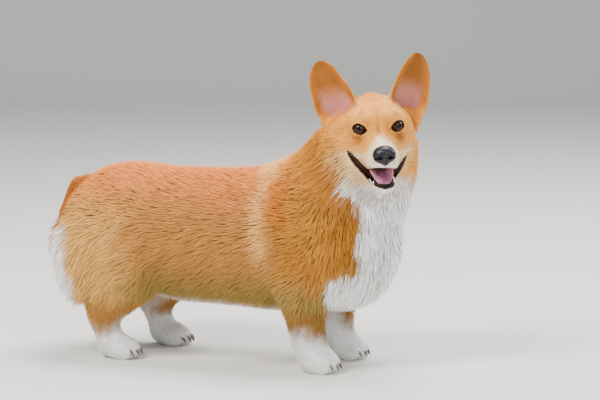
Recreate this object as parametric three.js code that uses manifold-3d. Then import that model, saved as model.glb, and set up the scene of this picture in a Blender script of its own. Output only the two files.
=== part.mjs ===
// A Pembroke Welsh Corgi as a still, life-size museum model, in millimetres.
// The dog stands with its nose end towards +X and its left side towards +Y, on the floor at z = 0,
// and turns its head about sixty degrees to its right. The mouth is open and the tongue shows.
//
// The body is one smooth form, blended from named masses and bones, and is parted with thin cuts
// into neck, torso, tail, legs and paws. The coat's long hair is built as flat tapered locks.
import * as THREE from "three";
import { mergeVertices } from "three/addons/utils/BufferGeometryUtils.js";
import Module from "manifold-3d";

const wasm = await Module();
wasm.setup();

// Driving dimensions of the dog
const backHeight = 274; // floor to the coat on the back
const bellyHeight = 74; // floor to the coat under the ribs
const trunkWidth = 190; // across the ribs, coat included
const rumpX = -232; // centre of the rump mass
const chestX = 150; // centre of the forechest mass
const foreTrack = 56; // centre line to a front foot
const hindTrack = 62; // centre line to a hind foot
const foreFootX = 117;
const hindFootX = -190;
const jointGap = 0.3; // between touching nodes

// Where the head is carried and how it is turned, in degrees
const skullPlace = new THREE.Vector3(191, -9, 339);
const headTurn = -63;
const noseDip = 5;
const headTilt = 4.4;

const rad = THREE.MathUtils.degToRad;
const V = (x, y, z) => new THREE.Vector3(x, y, z);

// Distance fields. Each mass is a function from a point to a signed distance in millimetres.

// An egg-shaped mass with its centre and three half sizes, turned about the side axis by lean degrees.
function mass(centre, half, lean = 0) {
  const c = Math.cos(rad(lean));
  const s = Math.sin(rad(lean));
  return (p) => {
    const dx = p.x - centre.x;
    const dz = p.z - centre.z;
    const x = dx * c - dz * s;
    const z = dx * s + dz * c;
    const y = p.y - centre.y;
    const near = Math.hypot(x / half.x, y / half.y, z / half.z);
    const slope = Math.hypot(x / half.x ** 2, y / half.y ** 2, z / half.z ** 2);
    return slope < 1e-9 ? -Math.min(half.x, half.y, half.z) : (near * (near - 1)) / slope;
  };
}

// A limb between two joints, with a radius at each, as a cone with round ends.
function limb(from, to, r1, r2) {
  const axis = to.clone().sub(from);
  const l2 = axis.lengthSq();
  const rr = r1 - r2;
  const a2 = l2 - rr * rr;
  return (p) => {
    const d = p.clone().sub(from);
    const y = d.dot(axis);
    const z = y - l2;
    const x2 = d.clone().multiplyScalar(l2).sub(axis.clone().multiplyScalar(y)).lengthSq();
    const y2 = y * y * l2;
    const z2 = z * z * l2;
    const k = Math.sign(rr) * rr * rr * x2;
    if (Math.sign(z) * a2 * z2 > k) return Math.sqrt(x2 + z2) / l2 - r2;
    if (Math.sign(y) * a2 * y2 < k) return Math.sqrt(x2 + y2) / l2 - r1;
    return (Math.sqrt((x2 * a2) / l2) + y * rr) / l2 - r1;
  };
}

// Joins fields so that they flow into each other over about the given width.
function flow(width, ...fields) {
  return (p) =>
    fields.reduce((best, field) => {
      const d = field(p);
      if (best === null) return d;
      const h = Math.max(width - Math.abs(best - d), 0) / width;
      return Math.min(best, d) - (h * h * width) / 4;
    }, null);
}

// The same field on both sides of the body.
const bothSides = (make) => [make(1), make(-1)];

// The outward direction of a field at a point.
function slopeOf(field, p) {
  const h = 0.5;
  const along = (x, y, z) => field(V(p.x + x, p.y + y, p.z + z)) - field(V(p.x - x, p.y - y, p.z - z));
  return V(along(h, 0, 0), along(0, h, 0), along(0, 0, h)).normalize();
}

// Moves a point onto the surface at the given height above the field's zero.
function settle(field, p, height = 0) {
  const q = p.clone();
  for (let i = 0; i < 4; i += 1) q.addScaledVector(slopeOf(field, q), height - field(q));
  return q;
}

// The corners of a grid cell as bits of a number, its twelve edges and its six faces
const cellCorners = [0, 1, 2, 3, 4, 5, 6, 7].map((n) => [n & 1, (n >> 1) & 1, n >> 2]);
const edgesFrom = (n) => [1, 2, 4].filter((bit) => !(n & bit)).map((bit) => [n, n + bit]);
const cellEdges = cellCorners.flatMap((corner, n) => edgesFrom(n));
const cellFaces = [1, 2, 4].flatMap((bit) => [0, bit].map((side) => (n) => (n & bit) === side));

// Groups the crossed edges of a cell into closed loops, each of which gets a vertex of its own.
function loopsOf(crossed, isInside) {
  const loop = crossed.map((edge, i) => i);
  const join = (a, b) => {
    const [from, to] = [loop[a], loop[b]];
    loop.forEach((value, i) => {
      if (value === from) loop[i] = to;
    });
  };
  for (const onFace of cellFaces) {
    const here = crossed.map((edge, i) => i).filter((i) => crossed[i].every(onFace));
    if (here.length === 2) join(here[0], here[1]);
    if (here.length === 4)
      for (const a of here)
        for (const b of here) if (crossed[a].some((n) => isInside(n) && crossed[b].includes(n))) join(a, b);
  }
  return [...new Set(loop)].map((name) => crossed.filter((edge, i) => loop[i] === name));
}

// Skins a field with quads on a grid of the given cell, then moves each vertex onto the surface.
// The grid's outermost layer counts as outside, so the skin is always closed.
function skinOf(field, low, high, cell) {
  const count = high.clone().sub(low).divideScalar(cell).ceil();
  const [nx, ny, nz] = [count.x + 1, count.y + 1, count.z + 1];
  const index = (i, j, k) => (k * ny + j) * nx + i;
  const at = (i, j, k) => V(low.x + i * cell, low.y + j * cell, low.z + k * cell);
  const value = new Float64Array(nx * ny * nz);
  const edge = (n, size) => n === 0 || n === size - 1;
  const eachCell = (visit) => {
    for (let k = 0; k < nz - 1; k += 1)
      for (let j = 0; j < ny - 1; j += 1) for (let i = 0; i < nx - 1; i += 1) visit(i, j, k);
  };
  for (let k = 0; k < nz; k += 1)
    for (let j = 0; j < ny; j += 1)
      for (let i = 0; i < nx; i += 1) {
        const outer = edge(i, nx) || edge(j, ny) || edge(k, nz);
        value[index(i, j, k)] = outer ? cell / 2 : field(at(i, j, k));
      }
  const vertexOf = new Map();
  const keyOf = (i, j, k, n, m) => index(i, j, k) * 64 + n * 8 + m;
  const points = [];
  eachCell((i, j, k) => {
    const d = cellCorners.map(([a, b, c]) => value[index(i + a, j + b, k + c)]);
    const crossed = cellEdges.filter(([n, m]) => d[n] < 0 !== d[m] < 0);
    for (const loop of crossed.length ? loopsOf(crossed, (n) => d[n] < 0) : []) {
      const mean = V(0, 0, 0);
      for (const [n, m] of loop) {
        const [a, b] = [n, m].map((corner) => V(...cellCorners[corner]));
        mean.add(a.lerp(b, d[n] / (d[n] - d[m])));
        vertexOf.set(keyOf(i, j, k, n, m), points.length);
      }
      mean.multiplyScalar(cell / loop.length).add(at(i, j, k));
      const home = settle(field, mean);
      points.push(home.distanceTo(mean) < cell * 0.6 ? home : mean);
    }
  });
  const faces = [];
  const around = [[1, 1], [0, 1], [0, 0], [1, 0]];
  eachCell((i, j, k) => {
    const inside = value[index(i, j, k)] < 0;
    for (const axis of [0, 1, 2]) {
      const step = [0, 0, 0];
      step[axis] = 1;
      if (inside === value[index(i + step[0], j + step[1], k + step[2])] < 0) continue;
      const [a, b, c, d] = around.map(([u, v]) => {
        const back = [0, 0, 0];
        back[(axis + 1) % 3] = u;
        back[(axis + 2) % 3] = v;
        const n = back[0] + 2 * back[1] + 4 * back[2];
        return vertexOf.get(keyOf(i - back[0], j - back[1], k - back[2], n, n + (1 << axis)));
      });
      faces.push(...(inside ? [a, b, c, a, c, d] : [a, c, b, a, d, c]));
    }
  });
  const geometry = new THREE.BufferGeometry();
  geometry.setAttribute("position", new THREE.Float32BufferAttribute(points.flatMap((p) => p.toArray()), 3));
  geometry.setIndex(faces);
  return geometry;
}

// Solids: three.js geometries carried through boolean joins and cuts.

function solidOf(geometry, matrix = new THREE.Matrix4()) {
  const bare = geometry.clone().applyMatrix4(matrix);
  for (const name of Object.keys(bare.attributes)) if (name !== "position") bare.deleteAttribute(name);
  const merged = mergeVertices(bare, 1e-4);
  const vertProperties = new Float32Array(merged.attributes.position.array);
  const triVerts = new Uint32Array(merged.index.array);
  return new wasm.Manifold(new wasm.Mesh({ numProp: 3, vertProperties, triVerts }));
}

function geometryOf(solid) {
  const mesh = solid.getMesh();
  const geometry = new THREE.BufferGeometry();
  geometry.setAttribute("position", new THREE.BufferAttribute(new Float32Array(mesh.vertProperties), 3));
  geometry.setIndex(new THREE.BufferAttribute(new Uint32Array(mesh.triVerts), 1));
  const flat = geometry.toNonIndexed();
  flat.computeVertexNormals();
  return flat;
}

// The largest closed body of a solid.
const largest = (solid) => solid.decompose().sort((a, b) => b.volume() - a.volume())[0];

// A solid with small pieces fused into it, kept as one closed body.
const fused = (solid, pieces) => largest(pieces.reduce((whole, piece) => whole.add(piece), solid));

// An outline grown outwards by a distance, its points counter-clockwise.
function grown(outline, by) {
  return outline.map((point, i) => {
    const before = outline.at(i - 1);
    const after = outline[(i + 1) % outline.length];
    const n1 = new THREE.Vector2(point[1] - before[1], before[0] - point[0]).normalize();
    const n2 = new THREE.Vector2(after[1] - point[1], point[0] - after[0]).normalize();
    const push = (2 * by) / (1 + n1.dot(n2)) / 2;
    return [point[0] + push * (n1.x + n2.x), point[1] + push * (n1.y + n2.y)];
  });
}

// A prism of an outline seen from the front (in Y, Z) or from the side (in X, Z).
function prism(view, outline, from, to, by = 0) {
  const shape = new THREE.Shape(grown(outline, by).map(([u, v]) => new THREE.Vector2(u, v)));
  const geometry = new THREE.ExtrudeGeometry(shape, { depth: to - from + 2 * by, bevelEnabled: false });
  const basis = new THREE.Matrix4();
  if (view === "front") basis.makeBasis(V(0, 1, 0), V(0, 0, 1), V(1, 0, 0)).setPosition(from - by, 0, 0);
  else basis.makeBasis(V(1, 0, 0), V(0, 0, 1), V(0, -1, 0)).setPosition(0, to + by, 0);
  return solidOf(geometry, basis);
}

// Parts a solid with a thin cut round a prism, and returns the piece inside and the rest.
function part(solid, ...cut) {
  const inside = largest(solid.intersect(prism(...cut)));
  const rest = largest(solid.subtract(prism(...cut, jointGap)));
  return [inside, rest];
}

// A tapered sweep along a path, closed at its root and drawn to a point at its tip.
// Each station has its place, its outward direction and its half width and half thickness.
function sweep(stations, sides, blunt = false) {
  const places = [];
  const along = (i) => {
    const next = stations[Math.min(i + 1, stations.length - 1)].place;
    return next.clone().sub(stations[Math.max(i - 1, 0)].place).normalize();
  };
  const rings = blunt ? stations : stations.slice(0, -1);
  rings.forEach(({ place, out, wide, thick }, i) => {
    const across = along(i).cross(out).normalize();
    const over = across.clone().cross(along(i)).normalize();
    for (let k = 0; k < sides; k += 1) {
      const turn = (2 * Math.PI * k) / sides;
      const edge = across.clone().multiplyScalar(wide * Math.cos(turn));
      places.push(place.clone().add(edge).addScaledVector(over, thick * Math.sin(turn)));
    }
  });
  const root = places.push(stations[0].place.clone()) - 1;
  const tip = places.push(stations.at(-1).place.clone()) - 1;
  const faces = [];
  const lastRing = (rings.length - 1) * sides;
  for (let k = 0; k < sides; k += 1) {
    const n = (k + 1) % sides;
    faces.push(root, k, n);
    for (let r = 0; r < lastRing; r += sides) {
      faces.push(r + k, r + sides + n, r + n);
      faces.push(r + k, r + sides + k, r + sides + n);
    }
    faces.push(lastRing + k, tip, lastRing + n);
  }
  const geometry = new THREE.BufferGeometry();
  geometry.setAttribute("position", new THREE.Float32BufferAttribute(places.flatMap((p) => p.toArray()), 3));
  geometry.setIndex(faces);
  return geometry;
}

// A round or egg-shaped cutter.
function egg(centre, half, around = 12) {
  const matrix = new THREE.Matrix4().makeScale(half.x, half.y, half.z).setPosition(centre);
  return solidOf(new THREE.SphereGeometry(1, around, Math.round(around * 0.7)), matrix);
}

// The body's masses
const trunkMid = (backHeight + bellyHeight) / 2;
const trunkHalf = (backHeight - bellyHeight) / 2;
const ribs = mass(V(40, 0, trunkMid + 2), V(140, trunkWidth / 2, trunkHalf + 2));
const loin = mass(V(-80, 0, trunkMid + 1), V(135, trunkWidth / 2 - 5, trunkHalf - 3));
const croup = mass(V(rumpX + 50, 0, 190), V(98, 84, 85));
const forechest = mass(V(chestX - 2, 0, 166), V(66, 72, 86));
const breastbone = mass(V(chestX + 26, 0, 190), V(40, 46, 62));
const withers = mass(V(92, 0, 234), V(72, 48, 50));
const shoulders = bothSides((s) => mass(V(112, s * 58, 176), V(60, 36, 74), -12));
const thighs = bothSides((s) => mass(V(-193, s * 54, 156), V(82, 40, 90), 10));
const ruff = mass(V(184, 30, 280), V(55, 56, 72));

const neckBase = V(118, 0, 228);
const neckMid = V(156, 0, 292);
const neckTop = V(176, 12, 332);
const neck = flow(20, limb(neckBase, neckMid, 76, 62), limb(neckMid, neckTop, 62, 48));

const toeRow = [-1.5, -0.5, 0.5, 1.5];

// Where the feet stand: the left hind foot is a little forward of the right one
const hindStep = { left: 24, right: 0 };

// A foreleg: forearm from the elbow to the wrist, then the paw with its toes
function foreleg(s) {
  const elbow = V(foreFootX - 12, s * 66, 120);
  const wrist = V(foreFootX - 6, s * (foreTrack - 2), 44);
  const paw = V(foreFootX + 8, s * foreTrack, 18);
  const toes = toeRow.map((n) => mass(V(paw.x + 17 - Math.abs(n) * 4, paw.y + n * 11, 12), V(17, 7.5, 13)));
  return flow(
    12,
    limb(elbow, wrist, 34, 24),
    limb(wrist, V(paw.x - 4, paw.y, 20), 22, 20),
    mass(paw, V(25, 22, 19)),
    flow(5, ...toes),
  );
}

// A hind leg: shank from the knee to the hock, metatarsus, then the paw with its toes
function hindleg(s) {
  const footX = hindFootX + hindStep[s > 0 ? "left" : "right"];
  const knee = V(footX + 38, s * 66, 128);
  const hock = V(footX - 10, s * hindTrack, 62);
  const paw = V(footX + 14, s * hindTrack, 17);
  const toes = toeRow.map((n) => mass(V(paw.x + 17 - Math.abs(n) * 4, paw.y + n * 10, 11), V(16, 7, 12)));
  return flow(
    12,
    limb(knee, hock, 40, 23),
    limb(hock, V(footX, s * hindTrack, 22), 20, 19),
    mass(paw, V(25, 20, 18)),
    flow(5, ...toes),
  );
}
// The head, in its own frame: X to the nose, Y to the dog's left, Z up, from the middle of the skull
const headFrame = new THREE.Matrix4().compose(
  skullPlace,
  new THREE.Quaternion().setFromEuler(new THREE.Euler(rad(headTilt), rad(noseDip), rad(headTurn), "ZYX")),
  V(1, 1, 1),
);
const intoHead = headFrame.clone().invert();
const skull = mass(V(-6, 0, -2), V(60, 55, 45));
const forehead = mass(V(24, 0, 9), V(32, 36, 25));
const brows = bothSides((s) => mass(V(37, s * 19, 17), V(13, 13, 8)));
const cheekbones = bothSides((s) => mass(V(22, s * 23, -20), V(30, 19, 24)));
const cheeks = bothSides((s) => mass(V(-8, s * 34, -30), V(36, 25, 36)));
const muzzle = limb(V(34, 0, -20), V(92, 0, -27), 28, 16.5);
const lips = bothSides((s) => mass(V(74, s * 9, -35), V(26, 11, 12)));
const jowls = bothSides((s) => mass(V(24, s * 20, -44), V(22, 14, 17)));
const jawBone = limb(V(6, 0, -56), V(72, 0, -66), 22, 10);
const chin = mass(V(70, 0, -66), V(17, 15, 10));
const headField = flow(
  13,
  skull,
  forehead,
  ...brows,
  ...cheekbones,
  ...cheeks,
  muzzle,
  ...lips,
  ...jowls,
  jawBone,
  chin,
);


const barrel = [ribs, loin, croup, forechest, breastbone, withers];
const trunk = flow(34, ...barrel, ...shoulders, ...thighs, neck, ruff);
const furred = flow(24, trunk, ...bothSides(foreleg), ...bothSides(hindleg));
const body = flow(16, furred, (p) => headField(p.clone().applyMatrix4(intoHead)));
const bodyCell = 21;
const bodyLow = V(-330, -130, -20);
const bodyHigh = V(290, 130, 420);
const bodySolid = largest(solidOf(skinOf(body, bodyLow, bodyHigh, bodyCell)));

// Flat soles, so that all four paws rest on the floor
const underFloor = [
  [-400, -60],
  [400, -60],
  [400, 0],
  [-400, 0],
];
let rest = bodySolid.subtract(prism("side", underFloor, -200, 200));

// The head comes off behind the ears and the throat, square to its own length
const headBack = -40;
const headBlock = [
  [headBack, -56],
  [14, -86],
  [160, -86],
  [160, 160],
  [headBack, 160],
];
const headSide = 70;
const headSpace = prism("side", headBlock, -headSide, headSide, jointGap).transform(headFrame.elements);
rest = largest(rest.subtract(headSpace));

// The paws, the legs and the neck come off with thin cuts, and the torso is parted in two
const pawTop = 40;
const foreOutline = [[24, -30], [150, -30], [150, 142], [112, 142], [24, 82]];
const foreSpan = [40, 190];
const hindOutline = [[20, -30], [150, -30], [150, 190], [112, 190], [20, 96]];
const hindSpan = [-330, -100];
const pawCell = 11;
function pawSolid(block, from, to) {
  const ys = block.map(([y]) => y);
  const low = V(from, Math.max(Math.min(...ys), -110), -14);
  const high = V(to, Math.min(Math.max(...ys), 110), pawTop + 16);
  const skin = solidOf(skinOf(body, low, high, pawCell));
  const inBlock = skin.intersect(prism("front", block, from, to));
  return largest(inBlock.subtract(prism("side", underFloor, -200, 200)));
}

// Four short curved claws, each growing from the end of its toe
function claws(pawX, pawY, spread) {
  return toeRow.map((n) => {
    const x = pawX + 33 - Math.abs(n) * 4;
    const y = pawY + n * spread;
    const line = [V(x - 10, y, 15), V(x - 3, y, 14.5), V(x + 3, y, 11), V(x + 5.5, y, 6)];
    const sizes = [2.6, 2.4, 1.6, 0];
    const stations = line.map((place, i) => ({ place, out: V(0, 1, 0), wide: sizes[i], thick: sizes[i] }));
    return solidOf(sweep(stations, 5));
  });
}
const nodes = {};
for (const [side, s] of [["left", 1], ["right", -1]]) {
  const mirror = (points) => (s > 0 ? points : points.map(([y, z]) => [-y, z]).reverse());
  const footBlock = mirror([[10, -30], [150, -30], [150, pawTop], [10, pawTop]]);
  const foreBlock = mirror(foreOutline);
  const hindBlock = mirror(hindOutline);
  nodes["forepaw_" + side] = pawSolid(footBlock, 40, 200);
  nodes["forepaw_" + side] = fused(nodes["forepaw_" + side], claws(foreFootX + 8, s * foreTrack, 11));
  rest = part(rest, "front", footBlock, 40, 240)[1];
  [nodes["foreleg_" + side], rest] = part(rest, "front", foreBlock, ...foreSpan);
  nodes["hindpaw_" + side] = pawSolid(footBlock, -330, -90);
  const hindX = hindFootX + 14 + hindStep[side];
  nodes["hindpaw_" + side] = fused(nodes["hindpaw_" + side], claws(hindX, s * hindTrack, 10));
  rest = part(rest, "front", footBlock, -330, -90)[1];
  [nodes["hindleg_" + side], rest] = part(rest, "front", hindBlock, ...hindSpan);
}
const neckBlock = [
  [10, 310],
  [190, 208],
  [300, 208],
  [300, 460],
  [10, 460],
];
[nodes.neck, rest] = part(rest, "side", neckBlock, -200, 200);
const waistX = -52;
const frontBlock = [
  [waistX, 0],
  [300, 0],
  [300, 400],
  [waistX, 400],
];
[nodes.torso_front, nodes.torso_rear] = part(rest, "side", frontBlock, -200, 200);

// The head's own skin, on a finer grid, still flowing into the neck behind it
const headCell = 8.6;
const headWhole = (p) => body(p.clone().applyMatrix4(headFrame));
const headLow = V(headBack - 14, -84, -100);
const headHigh = V(126, 84, 60);
let headSolid = solidOf(skinOf(headWhole, headLow, headHigh, headCell));
headSolid = largest(headSolid.intersect(prism("side", headBlock, -headSide, headSide)));

// The mouth: a wedge open at the front, from the corner of the lips
const lipCorner = [27, -31];
const lowerLip = [[38, -45], [56, -54.5], [80, -61], [130, -72]];
const upperLip = [[130, -54], [80, -45.5], [50, -37]];
const mouthGap = [lipCorner, ...lowerLip, ...upperLip];
const mouthHalf = 42;
headSolid = headSolid
  .subtract(prism("side", mouthGap, -mouthHalf, mouthHalf))
  .subtract(egg(V(56, 0, -42), V(32, 12, 8)))
  .subtract(egg(V(50, 0, -53), V(30, 14, 10)));

// The tongue lies in the lower jaw and its tip curls over the front lip
function tongueShape(extra) {
  const bends = [V(30, 0, -50), V(52, 0, -52), V(72, 0, -56), V(83, 0, -60), V(87.5, 0, -65)];
  const line = new THREE.CatmullRomCurve3(bends);
  const stations = [0, 0.2, 0.4, 0.6, 0.75, 0.88, 0.96, 1].map((t) => ({
    place: line.getPoint(t),
    out: V(0.3, 0, 1),
    wide: 12 * Math.sqrt(1 - Math.max(0, (t - 0.5) / 0.55) ** 2.6) + extra,
    thick: 3.6 - 1.2 * t + extra,
  }));
  return solidOf(sweep(stations, 10, true));
}
nodes.tongue = tongueShape(0).transform(headFrame.elements);
headSolid = headSolid.subtract(tongueShape(jointGap));

// Nose leather with its two nostrils
const noseField = flow(
  6,
  mass(V(101, 0, -18), V(13, 13, 10.5)),
  ...bothSides((s) => mass(V(101, s * 7.5, -22), V(10, 7, 8.5))),
  mass(V(101, 0, -29), V(8, 6, 7)),
);
const noseCell = 5;
const noseLow = V(82, -22, -44);
const noseHigh = V(120, 22, -6);
const nostrils = bothSides((s) => egg(V(111, s * 7.4, -22), V(5, 2.8, 2.4), 8));
let noseSolid = solidOf(skinOf(noseField, noseLow, noseHigh, noseCell));
noseSolid = nostrils.reduce((solid, pit) => solid.subtract(pit), noseSolid);
nodes.nose = largest(noseSolid).transform(headFrame.elements);
const noseGrown = (p) => noseField(p) - 1.3 * jointGap;
headSolid = headSolid.subtract(solidOf(skinOf(noseGrown, noseLow, noseHigh, noseCell)));

// Eyes with lids: a ball under the skin, an almond opening, and the eyeball in its socket
const eyeRadius = 11;
const lidThickness = 1.8;
const eyeOut = 14; // degrees that an eye looks outwards
const eyeBalls = {};
for (const [side, s] of [["left", 1], ["right", -1]]) {
  const place = V(42.5, s * 25.5, 7);
  const ball = (radius) => egg(place, V(radius, radius, radius), 12);
  const almond = new THREE.Shape();
  almond.moveTo(-8.5, -1);
  almond.bezierCurveTo(-4, 7.5, 4, 7.5, 8.5, 1);
  almond.bezierCurveTo(5, -7, -4, -7, -8.5, -1);
  const opening = new THREE.ExtrudeGeometry(almond, { depth: 40, bevelEnabled: false, curveSegments: 5 });
  const aim = new THREE.Matrix4().makeBasis(V(0, s, 0), V(0, 0, 1), V(s, 0, 0));
  const turned = new THREE.Matrix4().makeRotationZ(rad(s * eyeOut)).multiply(aim).setPosition(place);
  if (s < 0) opening.translate(0, 0, -40);
  headSolid = headSolid
    .add(ball(eyeRadius + lidThickness))
    .subtract(ball(eyeRadius + jointGap))
    .subtract(solidOf(opening, turned));
  eyeBalls["eye_" + side] = ball(eyeRadius).transform(headFrame.elements);
}

// Ears: upright cupped shells with rounded tips, set on the corners of the skull
const earThickness = 3.4;
function earShell(s) {
  const foot = V(-10, s * 42, 4);
  const tip = V(-17, s * 65, 95);
  const facing = V(Math.cos(rad(24)), s * Math.sin(rad(24)), 0.1).normalize();
  const up = tip.clone().sub(foot).normalize();
  const length = tip.distanceTo(foot);
  const across = up.clone().cross(facing).normalize();
  const front = across.clone().cross(up).normalize();
  const [columns, rows] = [7, 7];
  const places = [];
  for (const side of [0, -earThickness])
    for (let j = 0; j <= rows; j += 1)
      for (let i = 0; i <= columns; i += 1) {
        const u = (2 * i) / columns - 1;
        const v = 1 - (1 - j / rows) ** 1.25;
        const narrowing = v < 0.3 ? 0.22 * (1 - v / 0.3) : 0;
        const upper = Math.max(0, (v - 0.3) / 0.7);
        const half = 1.5 + 28 * (1 - narrowing) * Math.sqrt(Math.max(0, 1 - upper ** 2));
        const cup = (17 * (1 - v) + 5) * (u * u - 0.5);
        const lean = up.clone().multiplyScalar(v * length).addScaledVector(across, u * half);
        places.push(foot.clone().add(lean).addScaledVector(front, cup + side * (1 - 0.35 * v)));
      }
  const faces = [];
  const at = (layer, j, i) => layer * (rows + 1) * (columns + 1) + j * (columns + 1) + i;
  const quad = (a, b, c, d) => faces.push(a, b, c, a, c, d);
  for (let j = 0; j < rows; j += 1)
    for (let i = 0; i < columns; i += 1) {
      quad(at(0, j, i), at(0, j, i + 1), at(0, j + 1, i + 1), at(0, j + 1, i));
      faces.push(at(1, j, i), at(1, j + 1, i + 1), at(1, j, i + 1));
      faces.push(at(1, j, i), at(1, j + 1, i), at(1, j + 1, i + 1));
    }
  for (let j = 0; j < rows; j += 1) {
    quad(at(0, j, 0), at(0, j + 1, 0), at(1, j + 1, 0), at(1, j, 0));
    quad(at(0, j, columns), at(1, j, columns), at(1, j + 1, columns), at(0, j + 1, columns));
  }
  for (let i = 0; i < columns; i += 1) {
    quad(at(0, 0, i), at(1, 0, i), at(1, 0, i + 1), at(0, 0, i + 1));
    quad(at(0, rows, i), at(0, rows, i + 1), at(1, rows, i + 1), at(1, rows, i));
  }
  const geometry = new THREE.BufferGeometry();
  geometry.setAttribute("position", new THREE.Float32BufferAttribute(places.flatMap((p) => p.toArray()), 3));
  geometry.setIndex(faces);
  return solidOf(geometry);
}
const headGrown = solidOf(skinOf((p) => headWhole(p) - jointGap, V(-60, -84, -100), headHigh, headCell));
for (const [side, s] of [["left", 1], ["right", -1]]) {
  nodes["ear_" + side] = largest(earShell(s).subtract(headGrown)).transform(headFrame.elements);
}

// The lower jaw is parted from the head behind the corner of the mouth
const jawBlock = [
  [lipCorner[0] - 1, lipCorner[1]],
  [4, -110],
  [140, -110],
  [140, -60],
  [80, -52],
  [52, -46],
];
const canine = (s) =>
  solidOf(
    sweep(
      [
        { place: V(73, s * 14, -69), out: V(1, 0, 0), wide: 1.8, thick: 1.8 },
        { place: V(75.5, s * 14.6, -59), out: V(1, 0, 0), wide: 1.5, thick: 1.5 },
        { place: V(75, s * 15, -54), out: V(1, 0, 0), wide: 0, thick: 0 },
      ],
      6,
    ),
  );
let jaw;
[jaw, headSolid] = part(headSolid, "side", jawBlock, -mouthHalf, mouthHalf);
nodes.lower_jaw = fused(jaw, bothSides(canine)).transform(headFrame.elements);
nodes.head = largest(headSolid).transform(headFrame.elements);
Object.assign(nodes, eyeBalls);

// The tail: a short stub that hangs against the rump
const tailField = limb(V(-266, 0, 230), V(-284, -2, 188), 17, 12);
const tailCell = 12;
const tailWhole = solidOf(skinOf(tailField, V(-330, -40, 150), V(-230, 40, 270), tailCell));
const bodyGrown = solidOf(skinOf((p) => body(p) - jointGap, bodyLow, V(-120, 130, 300), bodyCell));
nodes.tail = largest(tailWhole.subtract(bodyGrown));

// Seeded random numbers, the same on every run.
function randomFrom(seed) {
  let state = seed;
  return (low, high) => {
    state = (Math.imul(state, 1664525) + 1013904223) >>> 0;
    return low + ((high - low) * state) / 2 ** 32;
  };
}

// A lock of hair: it leaves the surface at its root, lies along the given direction, bends with the
// surface and hangs free where the surface turns away, and tapers to its tip.
const lockRings = 4;
const rootDepth = 5;
function lockShape(field, start, lie, { length, wide, thick, lift }, extra = 0) {
  const stations = [];
  const place = settle(field, start, -rootDepth);
  for (let i = 0; i <= lockRings; i += 1) {
    const t = i / lockRings;
    const out = slopeOf(field, place);
    const full = i === lockRings ? 0 : 1 - 0.75 * t * t;
    const half = wide * full * (i === 0 ? 0.8 : 1);
    stations.push({ place: place.clone(), out, wide: half + extra, thick: thick * full + extra });
    const along = lie(place);
    along.addScaledVector(out, -along.dot(out) * 0.7).normalize();
    place.addScaledVector(along, length / lockRings);
    const height = (rootDepth + lift) * ((i + 1) / lockRings) ** 0.6 - rootDepth;
    const short = height - field(place);
    if (short > 0) place.addScaledVector(slopeOf(field, place), short);
  }
  return solidOf(sweep(stations, 4));
}

// Whether a point lies inside an outline.
const within = (outline, u, v) =>
  outline.every(([a, b], i) => {
    const [c, d] = outline[(i + 1) % outline.length];
    return (c - a) * (v - b) - (d - b) * (u - a) > 0;
  });

// The node that holds a point under the body's surface
function nodeAt(p) {
  const side = p.y > 0 ? "left" : "right";
  const y = Math.abs(p.y);
  const local = p.clone().applyMatrix4(intoHead);
  if (Math.abs(local.y) < headSide && within(headBlock, local.x, local.z)) return "head";
  if (p.x < hindSpan[1] && within(hindOutline, y, p.z)) return "hindleg_" + side;
  if (p.x > foreSpan[0] && p.x < foreSpan[1] && within(foreOutline, y, p.z)) return "foreleg_" + side;
  if (within(neckBlock, p.x, p.z)) return "neck";
  return p.x > waistX ? "torso_front" : "torso_rear";
}

// Grows a lock from the node at its root, raised or left out where it would touch another node.
const lockTries = 4;
function growLock(start, lie, size, field = body, nodeOf = nodeAt) {
  const root = settle(field, start, -rootDepth / 2);
  const owner = nodeOf(root);
  const across = slopeOf(field, root).cross(lie(root)).normalize();
  const beside = [size.wide, -size.wide].map((reach) => root.clone().addScaledVector(across, reach));
  const behind = root.clone().addScaledVector(lie(root), -rootDepth);
  if (owner === "head" || [...beside, behind].some((p) => nodeOf(p) !== owner)) return;
  for (let attempt = 0; attempt < lockTries; attempt += 1) {
    const raised = { ...size, lift: size.lift + 1.5 * attempt };
    const swollen = lockShape(field, start, lie, raised, jointGap);
    const others = Object.entries(nodes).filter(([name]) => name !== owner);
    if (others.every(([, solid]) => swollen.intersect(solid).volume() === 0)) {
      nodes[owner] = fused(nodes[owner], [lockShape(field, start, lie, raised)]);
      return;
    }
  }
}

// A lock's own size, varied a little from its region's size
const varied = (random, { length, wide, thick, lift }) => ({
  length: length * random(0.85, 1.15),
  wide: wide * random(0.85, 1.15),
  thick,
  lift: lift * random(0.7, 1.3),
});

// Rows of locks round an upright axis, each row half a lock out of step with the one before it.
function lockRows(seed, axis, reach, heights, [first, last], perRow, size, lie) {
  const random = randomFrom(seed);
  heights.forEach((z, row) => {
    for (let n = 0; n < perRow; n += 1) {
      const t = (n + 0.5 + (row % 2 ? 0.25 : -0.25) + random(-0.12, 0.12)) / perRow;
      const turn = rad(first + (last - first) * t);
      const start = V(axis[0] + reach * Math.cos(turn), axis[1] + reach * Math.sin(turn), z + random(-5, 5));
      growLock(start, lie, varied(random, size));
    }
  });
}

// Hair that lies downwards, drawn back and outwards by the given shares
const down = (back, out) => (p) => V(-back, Math.sign(p.y) * out, -1).normalize();

// The breeches down the backs of the thighs, drawn further back the lower they grow
const breechLie = (p) => V(-0.3 - 0.005 * Math.max(0, 200 - p.z), Math.sign(p.y) * 0.05, -1).normalize();
const breechSize = { length: 50, wide: 12.5, thick: 2.4, lift: 8 };
const breechRows = [196, 172, 150, 130, 110];
for (const s of [1, -1])
  lockRows(11, [-190, s * 45], 80, breechRows, [180 + s * 14, 180 - s * 75], 4, breechSize, breechLie);

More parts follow.
